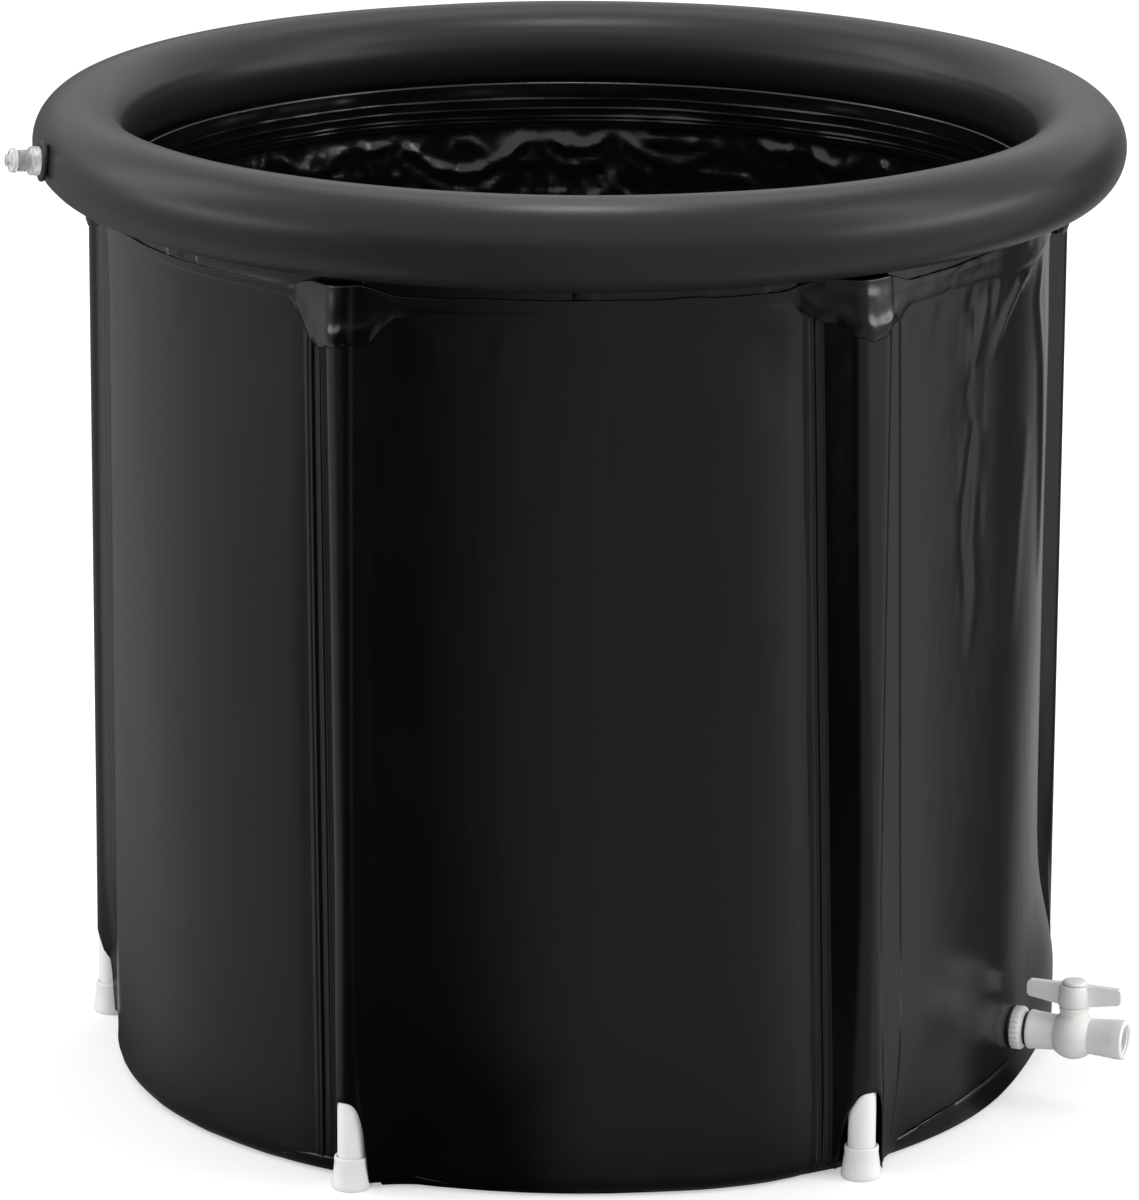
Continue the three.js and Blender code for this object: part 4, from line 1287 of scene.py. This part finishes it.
@dataclass
class Inside(Builder):
    """The liner with its gathers, and the ribbed weld band above it."""

    columns: int = 780
    rows: int = 100
    pinches: int = 27
    girth: float = 2080.0
    title = "inside"

    def _fan(self, reach: Array, down: Array, pin: Array) -> Array:
        """Pleats that spread below one pinch point.

        Args:
            reach: Distance beside the point.
            down: Distance below it.
            pin: The point's number.

        Returns:
            Their depth, from 0 to 1.
        """
        ray = reach / (down + 16.0)
        pleats = (1 - np.abs(round_noise(pin * 0.317 + ray * 0.35, 29, 53))) ** 4
        return pleats * hump(reach / (20.0 + 0.42 * down), 0.0, 1.0)

    def _gathers(self, u: Array, height: Array) -> Array:
        """How far the liner's folds stand in: fans below pinch points, swags between, slack below.

        Args:
            u: Shares round the tub.
            height: Heights above the floor.

        Returns:
            The distance.
        """
        below = 638.0 - height
        down = np.maximum(below, 0.0)
        drop = np.clip(below / 636.0, 0.0, 1.0)
        rng = np.random.default_rng(51)
        pins = (np.arange(self.pinches) + rng.uniform(-0.36, 0.36, self.pinches)) / self.pinches
        depth = rng.uniform(0.35, 1.0, self.pinches)
        sway = 0.004 * lattice(u, drop, 24, 7, 52) + 0.010 * round_noise(u, 13, 60) * drop * 4.0
        swing = np.mod(u + sway, 1.0)
        after = np.searchsorted(pins, swing) % self.pinches
        before = (after - 1) % self.pinches
        left = np.mod(swing - pins[before], 1.0) * self.girth
        right = np.mod(pins[after] - swing, 1.0) * self.girth
        gap = left + right
        fans = depth[before] * self._fan(left, down, before) + depth[after] * self._fan(right, down, after)
        middle = (left - right) / np.maximum(gap, 1.0)
        hang = down - (0.16 + 0.2 * depth[before]) * gap * (1 - middle**2)
        swag = hump(hang, 0.0, 5.0) + 0.6 * hump(hang, 15.0, 6.0)
        swag = swag * (1 - middle**4) * np.minimum(depth[before], depth[after])
        broad = ridged(swing, drop * 0.5, 52, 2, 54) ** 2
        narrow = ridged(swing, drop, 118, 5, 55) ** 3
        crumple = lattice(swing, drop, 150, 40, 56)
        creased = 2.2 * ridged(swing + 0.02 * drop, drop, 96, 30, 57) ** 6 * np.exp(-down / 130.0)
        start = 0.06 * step(-1.0, 10.0, below) + 0.94 * np.clip(below / 170.0, 0.0, 1.0)
        hung = step(1.0, 16.0, below)
        deeper = step(10.0, 90.0, below)
        fade = (1 - 0.65 * step(120.0, 400.0, below)) * step(20.0, 70.0, height)
        slack = (10.0 * broad + 6.0 * narrow) * (0.4 + 0.6 * deeper)
        folds = 16.0 * fans * (0.5 + 0.5 * np.exp(-down / 110.0)) + slack
        fine = hung * (3.4 * swag + 1.6 * narrow + creased)
        return fade * (start * np.maximum(folds + 0.9 * crumple, 0.0) + fine)

    def liner(self) -> None:
        """Make the liner, from the middle of its floor to the weld band."""
        flat = TUB.liner - TUB.liner_corner
        marks = np.array([0.0, 0.1, 0.15, 0.36, 1.0])
        stations = np.array([0.0, 1.0, 2.0, 3.0, 4.0])
        heights = np.array([31.6, 31.6, 31.6, 440.0, TUB.cover_top - 4.0])

        def place(u: Array, v: Array) -> Array:
            """Points of the liner, from the middle of its floor round the corner and up.

            Args:
                u: Shares across the sheet.
                v: Shares up or outwards.

            Returns:
                Points in mm.
            """
            angle = 360.0 * u
            along = np.interp(v, marks, stations)
            turn = np.clip(along - 1.0, 0.0, 1.0) * np.pi / 2
            rise = np.interp(along, stations, heights)
            corner = TUB.liner_floor + TUB.liner_corner * (1 - np.cos(turn))
            height = np.where(along < 2.0, corner, rise)
            radius = np.where(along < 1.0, flat * along, flat + TUB.liner_corner * np.sin(turn))
            on_floor = (1 - step(1.4, 2.0, along)) * np.clip(along, 0.0, 1.0)
            wrinkle = 1.1 * ridged(u, along / 2, 30, 5, 58) ** 2 + 0.8 * lattice(u, along / 2, 60, 9, 59)
            inward = self._gathers(u, height)
            return on_circle(angle, radius - inward, height + on_floor * np.maximum(wrinkle, 0.0) * 1.6)

        obj = link("liner", sheet_mesh(self.columns, self.rows, place, inside=True))
        self.hand_over(obj, "tub", Finish.LINER, "inner_liner")

    def weld_band(self) -> None:
        """Make the flat band with its ribs, where liner and wall are welded."""
        ribs = (643.5, 646.5, 653.0, 660.5)
        marks = (0.0, 0.84, 0.86, 0.88, 1.0)
        heights = (TUB.band_foot, 673.0, 673.2, 673.1, 672.2)
        tucks = (0.0, 0.0, 0.1, 0.3, 9.5)

        def place(u: Array, v: Array) -> Array:
            """Points of the band, whose top edge turns in under the ring.

            Args:
                u: Shares across the sheet.
                v: Shares up or outwards.

            Returns:
                Points in mm.
            """
            angle = 360.0 * u
            height = np.interp(v, marks, heights)
            tuck = np.interp(v, marks, tucks)
            free = 1 - step(664.0, 672.0, height)
            rib = sum(0.45 * hump(height, z, 0.8) for z in ribs)
            wave = 0.9 * lattice(u, v, 30, 2, 61) + 0.4 * lattice(u, v, 110, 3, 62)
            edge = height + 0.5 * lattice(u, v, 36, 1, 63) * free
            return on_circle(angle, TUB.liner - 3.0 - (rib + wave) * free + tuck, edge)

        obj = link("weld_band", sheet_mesh(600, 50, place, inside=True))
        thicken(obj, 0.8)
        self.hand_over(obj, "tub", Finish.LINER, "inner_weld_band")

    def build(self) -> None:
        """Make the liner and its band."""
        self.liner()
        self.weld_band()


@dataclass
class InflatedRing(Builder):
    """The inflated ring on the rim."""

    steps_round: int = 400
    steps_across: int = 80
    title = "ring"

    @staticmethod
    def _swell(points: Array) -> Array:
        """Move the tube's skin to its slack, seams and puckers.

        Args:
            points: Points of the round tube.

        Returns:
            Their new places.
        """
        angle = np.degrees(np.arctan2(points[:, 0], -points[:, 1]))
        reach = np.hypot(points[:, 0], points[:, 1]) - TUB.ring_centre
        rise = points[:, 2] - TUB.ring_height
        around = np.degrees(np.arctan2(rise, reach))
        u = angle / 360.0
        side = 0.5 + 0.5 * np.cos(np.radians(around))
        slack = 0.6 * lattice(u, side, 9, 2, 71) + 0.25 * lattice(u, side, 25, 3, 72)
        weld = hump(turn_between(around, -128.0), 0.0, 13.0)
        tuck = hump(turn_between(around, -112.0), 0.0, 16.0)
        puckers = tuck * (0.9 * ridged(u, side, 120, 2, 73) - 0.5) - weld * 0.8
        seam = 0.5 * hump(turn_between(around, 158.0), 0.0, 1.6)
        valve = np.hypot(turn_between(angle, TUB.air_valve_angle) * 6.4, around * 0.6)
        pinch = -0.7 * hump(valve, 22.0, 5.0) * lattice(u * 40, side, 7, 3, 74)
        size = 1 + (slack + puckers + seam + pinch - 0.7) / TUB.tube
        return on_circle(angle, TUB.ring_centre + reach * size, TUB.ring_height + rise * size)

    def build(self) -> None:
        """Make the ring."""
        bm = bmesh.new()
        circle = bmesh.ops.create_circle(bm, segments=self.steps_across, radius=TUB.tube * MM)
        stand = Matrix.Translation((TUB.ring_centre * MM, 0, TUB.ring_height * MM))
        upright = Matrix.Rotation(math.pi / 2, 4, "X")
        bmesh.ops.transform(bm, matrix=stand @ upright, verts=circle["verts"])
        bmesh.ops.spin(
            bm, geom=[*bm.verts, *bm.edges], cent=(0, 0, 0), axis=(0, 0, 1), dvec=(0, 0, 0),
            angle=2 * math.pi, steps=self.steps_round, use_merge=True,
        )
        bmesh.ops.recalc_face_normals(bm, faces=bm.faces)
        reshape(bm, self._swell)
        obj = self.hand_over(link("ring", bm), "tub", Finish.RING, "ring_bladder")


@dataclass
class Rods(Builder):
    """The support pipes with their feet and top caps."""

    pipe: float = 10.0
    bore: float = 8.0
    pipe_foot: float = 3.3
    pipe_top: float = 625.0
    foot: Outline = (
        (0.0, 0.0), (0.0, 13.2), (0.5, 14.2), (1.6, 14.6), (4.4, 14.4), (6.0, 13.9), (19.4, 12.2),
        (20.2, 12.4), (23.2, 12.3), (24.0, 11.7), (24.0, 10.9), (22.8, 10.4), (3.0, 10.4), (3.0, 0.0),
    )
    cap: Outline = (
        (616.0, 0.0), (616.0, 7.5), (625.3, 7.5), (625.3, 10.0), (626.8, 10.0), (627.3, 9.0),
        (627.3, 0.0),
    )
    title = "rods"

    def build(self) -> None:
        """Make five rods, each a pipe, a flared foot with a rolled lip, and a plug."""
        low, top = self.pipe_foot, self.pipe_top
        pipe = [(low, self.bore), (low, self.pipe), (top, self.pipe), (top, self.bore)]
        kinds = (("pipe", pipe, 0.4), ("foot", self.foot, 0.5), ("cap", self.cap, 0.3))
        for number, angle in enumerate(TUB.rods, start=1):
            stand = radial(angle, TUB.rod_circle, 0.0) @ UPRIGHT
            for kind, outline, edge in kinds:
                self.add(
                    f"{kind}_{number}", spun(outline, 64), stand, f"rod_{number}", Finish.WHITE,
                    f"rod_{kind}_{number}", edge,
                )


@dataclass
class AirValve(Builder):
    """The screw valve on the ring."""

    elevation: float = 4.0
    gasket: Outline = (
        (33.2, 8.4), (33.2, 14.2), (34.6, 14.9), (36.0, 14.6), (36.4, 13.8), (36.4, 8.4),
    )
    body: Outline = (
        (29.5, 4.5), (29.5, 5.7), (36.7, 5.7), (36.7, 10.0), (37.2, 10.5), (41.0, 10.5), (41.4, 10.1),
        (42.0, 10.1), (42.4, 10.5), (43.3, 10.5), (44.2, 9.7), (44.2, 7.4), (52.6, 7.4), (53.2, 6.8),
        (53.2, 4.5),
    )
    cap: Outline = (
        (47.8, 0.0), (47.8, 4.2), (53.5, 4.2), (53.5, 8.3), (54.1, 8.8), (57.2, 8.8), (58.0, 8.2),
        (58.5, 7.2), (58.5, 5.0), (59.0, 4.5), (60.6, 4.5), (61.2, 3.8), (61.2, 0.0),
    )
    title = "air valve"

    def build(self) -> None:
        """Make the gasket, the screwed body with its thread and the cap."""
        axis = radial(TUB.air_valve_angle, TUB.ring_centre, TUB.ring_height, self.elevation)
        self.add("air_washer", spun(self.gasket), axis, "tub", Finish.RUBBER, "air_valve_gasket")
        screw = merge(spun(self.body), screw_thread(44.6, 53.0, 7.3, 2.2, 0.75))
        self.add("air_screw", screw, axis, "air_valve_screw", Finish.CLEAR, "air_valve_body")
        self.add("air_plug", spun(self.cap), axis, "air_valve_plug", Finish.CLEAR, "air_valve_cap")


@dataclass
class Drain(Builder):
    """The bulkhead fitting and the ball valve."""

    mouth: float = 87.62
    hole: float = 11.2
    belly: float = 18.5
    ball_place: float = 47.66
    ball_radius: float = 10.4
    ball_bore: float = 6.0
    stop_turns: tuple[float, ...] = (-105.0, 33.0)
    stop_size: tuple[float, float] = (2.7, 3.4)
    stop_reach: float = 8.85
    stop_foot: float = 20.5
    stop_top: float = 24.4
    hub_top: float = 38.5
    wing_half: float = 36.0
    wing_height: float = 31.0
    wing_thickness: float = 5.6
    wing_depth: float = 15.6
    wing_round: float = 4.6
    grips: int = 12
    tail: Outline = (
        (-17.1, 7.5), (-17.1, 9.5), (-16.5, 10.2), (-16.7, 17.0), (-17.1, 18.2), (-16.6, 19.4),
        (-15.6, 20.0), (-13.6, 20.0), (-13.1, 19.4), (-13.1, 10.8), (28.2, 10.8), (28.2, 7.5),
    )
    collar: Outline = (
        (12.0, 0.0), (12.0, 10.5), (18.6, 10.5), (19.2, 11.0), (21.6, 11.0), (22.5, 10.2),
        (22.5, 4.5), (19.0, 4.5), (19.0, 0.0),
    )
    button: Outline = (
        (38.8, 0.0), (38.8, 8.4), (39.4, 9.0), (40.6, 9.0), (41.2, 8.5), (41.6, 7.2), (41.9, 4.0),
        (42.0, 0.0),
    )
    title = "drain"

    def _axis(self, along: float = 0.0) -> Matrix:
        """The drain's frame, moved along its axis."""
        start = radial(TUB.drain_angle, TUB.wall, TUB.drain_height)
        return start @ Matrix.Translation((along * MM, 0, 0))

    def _washer(self, start: float, end: float, radius: float, segments: int = 80) -> bmesh.types.BMesh:
        """A ring round the bulkhead's tail."""
        return spun([(start, self.hole), (start, radius), (end, radius), (end, self.hole)], segments)

    def _bulkhead(self) -> bmesh.types.BMesh:
        """The flanged tail through the wall, with a strainer-like stepped face."""
        return spun(self.tail, 80)

    def _nut(self) -> bmesh.types.BMesh:
        """The lock nut with a fluted rim.

        Returns:
            Its mesh.
        """
        outline = [
            (2.0, self.hole), (2.0, 15.4), (2.6, 16.1), (8.2, 16.1), (9.2, 15.6), (9.6, 14.6),
            (9.6, 13.4), (11.1, 13.2), (11.1, self.hole),
        ]
        bm = spun(outline, 144)

        def flute(points: Array) -> Array:
            """Cut shallow grips into the rim.

            Args:
                points: Points of the plain nut.

            Returns:
                Their new places.
            """
            around = np.arctan2(points[:, 1], points[:, 2])
            reach = np.hypot(points[:, 1], points[:, 2])
            share = step(13.6, 15.2, reach)
            cut = 1 - share * 0.07 * np.abs(np.cos(self.grips * around)) ** 8
            return points * np.stack([np.ones_like(cut), cut, cut], axis=1)

        reshape(bm, flute)
        return bm

    def _housing(self) -> bmesh.types.BMesh:
        """The valve's body: two sockets, a round belly, the stem's neck and two stops.

        Returns:
            Its mesh.
        """
        arc = np.radians(np.linspace(134.5, 45.5, 24))
        belly = [(self.ball_place + self.belly * math.cos(t), self.belly * math.sin(t)) for t in arc]
        outline = [
            (13.7, self.hole), (13.7, 13.7), (14.6, 14.6), (16.8, 14.65), (17.6, 14.3), *belly,
            (78.0, 14.3), (79.0, 14.65), (86.5, 14.65), (self.mouth, 13.6), (self.mouth, 11.3),
            (86.8, 10.7), (71.6, 10.7), (71.6, 6.5), (59.96, 6.5), (59.96, 10.8), (29.06, 10.8),
            (29.06, self.hole),
        ]
        body = spun(outline, 96)
        thread = screw_thread(72.0, 87.0, 10.75, 1.8, -0.9)
        neck = spun(self.collar, 64)
        upright = Matrix.Translation((self.ball_place * MM, 0, 0)) @ UPRIGHT
        bmesh.ops.transform(neck, matrix=upright, verts=neck.verts)
        merge(body, thread, neck)
        merge(body, *(self._stop(turn) for turn in self.stop_turns))
        return body

    def _stop(self, turn: float) -> bmesh.types.BMesh:
        """One small upright stop beside the stem.

        Args:
            turn: Its degrees round the stem.

        Returns:
            Its mesh.
        """
        bm = bmesh.new()
        bmesh.ops.create_cube(bm, size=1.0)
        foot, top = self.stop_foot, self.stop_top
        size = Matrix.Diagonal((*(side * MM for side in self.stop_size), (top - foot) * MM, 1))
        where = Matrix.Translation((self.stop_reach * MM, 0, (top + foot) / 2 * MM))
        place = Matrix.Translation((self.ball_place * MM, 0, 0)) @ Matrix.Rotation(math.radians(turn), 4, "Z")
        bmesh.ops.transform(bm, matrix=place @ where @ size, verts=bm.verts)
        return bm

    def _ball(self) -> bmesh.types.BMesh:
        """The bored ball.

        Returns:
            Its mesh.
        """
        half = math.degrees(math.asin(self.ball_bore / self.ball_radius))
        arc = np.radians(np.linspace(180 - half, half, 30))
        return spun([(self.ball_radius * math.cos(t), self.ball_radius * math.sin(t)) for t in arc], 72)

    def _handle(self) -> bmesh.types.BMesh:
        """The hub and its two wings.

        Returns:
            Its mesh.
        """
        top, half = self.hub_top, self.wing_half
        outline = [
            (24.8, 0.0), (24.8, 10.8), (22.9, 10.8), (22.9, 11.6), (23.4, 11.9), (36.0, 11.4),
            (top - 0.6, 11.0), (top, 10.3), (top, 0.0),
        ]
        hub = spun(outline, 80)
        bmesh.ops.transform(hub, matrix=UPRIGHT, verts=hub.verts)
        wings = bmesh.new()
        bmesh.ops.create_cube(wings, size=1.0)
        bar = (2 * half * MM, self.wing_thickness * MM, self.wing_depth * MM)
        bmesh.ops.scale(wings, vec=bar, verts=wings.verts)
        bmesh.ops.translate(wings, vec=(0, 0, self.wing_height * MM), verts=wings.verts)
        long_edges = [e for e in wings.edges if abs(e.verts[0].co.x - e.verts[1].co.x) > 0.05]
        bmesh.ops.subdivide_edges(wings, edges=long_edges, cuts=23, use_grid_fill=True)
        ends = [
            e for e in wings.edges
            if min(abs(v.co.x) for v in e.verts) > (half - 0.1) * MM
            and abs(e.verts[0].co.y - e.verts[1].co.y) > MM
        ]
        bmesh.ops.bevel(
            wings, geom=ends, offset=self.wing_round * MM, segments=8, profile=0.5, affect="EDGES",
            material=-1,
        )

        def taper(points: Array) -> Array:
            """Thicken the wings at the hub and let them rise a little towards their ends.

            Args:
                points: Points of the straight bar.

            Returns:
                Their new places.
            """
            far = np.abs(points[:, 0]) / half
            middle = self.wing_height + 1.6 * step(0.3, 1.0, far)
            low = 1 - 0.2 * step(0.35, 1.0, far)
            thick = 1.0 + 0.5 * (1 - step(0.2, 0.5, far))
            rise = middle + (points[:, 2] - self.wing_height) * low
            return np.stack([points[:, 0], points[:, 1] * thick, rise], axis=1)

        reshape(wings, taper)
        return merge(hub, wings)

    def build(self) -> None:
        """Make every visible piece of the drain."""
        axis, on_ball = self._axis(), self._axis(self.ball_place)
        for name, bm, finish, node, edge in (
            ("bulkhead", self._bulkhead(), Finish.WHITE, "drain_bulkhead", 0.0),
            ("lock_nut", self._nut(), Finish.WHITE, "drain_lock_nut", 0.0),
            ("valve_housing", self._housing(), Finish.WHITE, "drain_valve_body", 0.35),
            ("inner_washer", self._washer(-12.8, -11.0, 18.8), Finish.RUBBER, "drain_inner_gasket", 0.3),
            ("outer_washer", self._washer(0.4, 1.8, 15.6), Finish.RUBBER, "drain_outer_gasket", 0.3),
            ("socket_seal", self._washer(11.4, 13.4, 12.7, 72), Finish.RUBBER, "drain_socket_ring", 0.3),
        ):
            self.add(name, bm, axis, "tub", finish, node, edge)
        self.add("ball", self._ball(), on_ball, "drain_turner", Finish.WHITE, "drain_ball")
        self.add("lever", self._handle(), on_ball, "drain_turner", Finish.WHITE, "drain_handle", 0.7)
        upright = on_ball @ UPRIGHT
        self.add("lever_button", spun(self.button), upright, "drain_turner", Finish.WHITE, "drain_handle_cap")


NODE_FINISHES = {
    Finish.FOAM: ["insulation_floor", *(f"insulation_panel_{i}" for i in range(1, 6))],
    Finish.CLEAR: ["air_valve_base", "air_valve_flap"],
    Finish.WHITE: ["drain_seat_retainer", "drain_stem"],
    Finish.RUBBER: ["drain_stem_ring"],
    Finish.SEAT: ["drain_seat_inner", "drain_seat_outer"],
}


@dataclass(frozen=True)
class SoftBox:
    """A soft box that faces the tub's middle, with degrees from the front and above, metres and watts."""

    name: str
    azimuth: float
    elevation: float
    distance: float
    size: tuple[float, float]
    watts: float

    def place(self) -> None:
        """Put it into the scene."""
        data = bpy.data.lights.new(self.name, "AREA")
        data.shape = "RECTANGLE"
        data.size, data.size_y = self.size
        data.energy = self.watts
        obj = bpy.data.objects.new(self.name, data)
        a, e = math.radians(self.azimuth), math.radians(self.elevation)
        back = Vector((math.sin(a) * math.cos(e), -math.cos(a) * math.cos(e), math.sin(e)))
        turn = back.to_track_quat("Z", "Y").to_matrix().to_4x4()
        middle = Vector((0, 0, 0.4))
        obj.matrix_world = Matrix.Translation(middle + back * self.distance) @ turn
        bpy.context.scene.collection.objects.link(obj)


@dataclass
class Studio:
    """Floor, surroundings, lamps and camera."""

    camera_place: tuple[float, float, float] = (0.0, -5.079, 1.7285)
    pitch: float = 15.22
    yaw: float = 0.0584
    roll: float = 0.33
    lens: float = 211.97
    world_level: float = 0.76
    floor_glow: float = 0.41
    # Painted reflection: the floor card's glow levels by doubled angle from the front, which make the walls'
    # reflections dark or light.
    painted_reflection_levels: tuple[tuple[float, float], ...] = (
        (-206.0, 0.2), (-181.0, 0.16), (-160.0, 0.24), (-128.0, 0.5), (-76.0, 0.48), (-66.0, 0.4),
        (-60.0, 0.28), (-54.0, 0.02), (-16.0, 0.02), (-8.0, 0.12), (-2.3, 0.27), (3.4, 0.36),
        (46.0, 0.37), (56.0, 0.45), (65.0, 0.58), (75.0, 0.64), (112.0, 0.64), (116.0, 0.58),
        (118.5, 0.36), (121.5, 0.17), (128.0, 0.08), (145.0, 0.08), (153.0, 0.3), (165.0, 0.5),
        (206.0, 0.3),
    )
    # Painted shadow: the card's glow by distance from the tub's axis, dark close to the tub like a contact
    # shadow.
    painted_shadow_reaches: tuple[tuple[float, float], ...] = (
        (0.30, 0.05), (0.35, 0.25), (0.41, 0.6), (0.5, 0.85), (0.8, 1.0),
    )
    card_span: float = 420.0
    boxes: tuple[SoftBox, ...] = (
        SoftBox("right_box", 76.0, 36.0, 4.0, (1.2, 2.6), 30.0),
        SoftBox("left_box", -104.0, 34.0, 4.0, (1.4, 2.6), 32.0),
        SoftBox("low_right_box", 77.0, 8.0, 3.6, (3.4, 0.8), 55.0),
        SoftBox("low_left_box", -77.0, 8.0, 3.6, (3.4, 0.8), 41.0),
        SoftBox("back_box", 180.0, 62.0, 3.6, (2.6, 1.2), 16.0),
        SoftBox("top_box", 0.0, 88.0, 1.65, (0.3, 0.3), 6.0),
    )

    def camera(self) -> None:
        """Put the camera at the photograph's viewpoint."""
        data = bpy.data.cameras.new("camera")
        data.lens = self.lens
        data.clip_end = 100.0
        obj = bpy.data.objects.new("camera", data)
        obj.matrix_world = (
            Matrix.Translation(self.camera_place)
            @ Matrix.Rotation(math.radians(self.yaw), 4, "Z")
            @ Matrix.Rotation(math.radians(90 - self.pitch), 4, "X")
            @ Matrix.Rotation(math.radians(self.roll), 4, "Z")
        )
        bpy.context.scene.collection.objects.link(obj)
        bpy.context.scene.camera = obj

    @staticmethod
    def _seen(shader: Shader) -> Value:
        """Pick the rays that show the background: direct ones, gloss and clear plastic.

        Args:
            shader: The tree that asks.

        Returns:
            1 for such rays, 0 for others.
        """
        camera, gloss, clear = (
            shader.node("ShaderNodeLightPath", output=f"Is {kind} Ray")
            for kind in ("Camera", "Glossy", "Transmission")
        )
        return camera.math("MAXIMUM", gloss).math("MAXIMUM", clear)

    def surroundings(self) -> None:
        """Make the white world and the pale floor."""
        world = bpy.data.worlds.new("surroundings")
        bpy.context.scene.world = world
        shader = Shader(world)
        strength = self.world_level + self._seen(shader) * (1 - self.world_level)
        sky = shader.node("ShaderNodeBackground", inputs={"Color": grey(1.0), "Strength": strength})
        shader.node("ShaderNodeOutputWorld", inputs={"Surface": sky})
        bm = bmesh.new()
        bmesh.ops.create_grid(bm, x_segments=2, y_segments=2, size=40.0)
        floor = link("floor", bm)
        paint = Shader.paint("floor_paint")
        tone = paint.mix(paint.noise(1.5), grey(0.8), grey(0.79))
        glow = self._seen(paint) * self.floor_glow
        material = paint.glowing(glow, Base_Color=tone, Roughness=0.75, Specular_IOR_Level=0.2)
        floor.data.materials.append(material)

    def glowing_reflection_card(self) -> None:
        """Put a glowing card on the floor round the tub that only gloss shows; it is no lamp, and its glow is
        painted reflection in the walls, darker near the tub as painted shadow.

        A wall that is seen from the front mirrors the floor at twice its own angle from the front, so the
        card's tone follows that doubled angle, worked out from where the ray lands.
        """

        def place(u: Array, v: Array) -> Array:
            """Points of the card, which turns up far from the tub.

            Args:
                u: Shares across the sheet.
                v: Shares up or outwards.

            Returns:
                Points in mm.
            """
            reach = 296.0 + 3750.0 * v**2
            rise = 0.5 + 1500.0 * np.clip((v - 0.84) / 0.16, 0.0, 1.0) ** 2
            return on_circle(360.0 * u, reach, rise)

        card = link("glowing_reflection_card", sheet_mesh(120, 28, place))
        paint = Shader.paint("reflection_glow_paint")
        x = paint.node("ShaderNodeSeparateXYZ", inputs={0: paint.place()})
        y = x.other(1)
        reach = (x * x + y * y).math("POWER", 0.5)
        twice = reach.math("MAXIMUM", 0.36) * 2.0
        facing = x.math("ARCTAN2", y * -1.0) * twice.math("DIVIDE", twice - TUB.wall * MM)
        turn = facing * (180.0 / math.pi / self.card_span) + 0.5
        stops = [(angle / self.card_span + 0.5, level) for angle, level in self.painted_reflection_levels]
        # Painted reflection times painted shadow: glow by angle, darkened near the tub.
        tone = paint.ramp(turn, stops) * paint.ramp(reach, self.painted_shadow_reaches)
        # The card glows with its painted reflection levels, though it is no lamp.
        material = paint.glowing(tone, Base_Color=grey(0.0), Roughness=1.0, Specular_IOR_Level=0.0)
        card.data.materials.append(material)
        for ray in ("camera", "diffuse", "transmission", "volume_scatter", "shadow"):
            setattr(card, f"visible_{ray}", False)

    def build(self) -> None:
        """Make the studio."""
        self.camera()
        self.surroundings()
        self.glowing_reflection_card()
        for box in self.boxes:
            box.place()
        bpy.context.scene.view_settings.view_transform = "Standard"


def dress_nodes(nodes: dict[str, bpy.types.Object], wardrobe: Wardrobe) -> None:
    """Give the CAD nodes that stay their finishes.

    Args:
        nodes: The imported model's nodes.
        wardrobe: Where the materials come from.
    """
    for finish, names in NODE_FINISHES.items():
        for name in names:
            wardrobe.dress(nodes[name], finish)
            LOG.info("kept: %s", name)


def main() -> None:
    """Build the dressed tub."""
    logging.basicConfig(level=logging.INFO, format="%(name)s: %(message)s")
    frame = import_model()
    wardrobe = Wardrobe()
    Studio().build()
    for assembly in (Shell, Inside, InflatedRing, Rods, AirValve, Drain):
        assembly(wardrobe).build()
    dress_nodes(frame["nodes"], wardrobe)


if __name__ == "__main__":
    main()
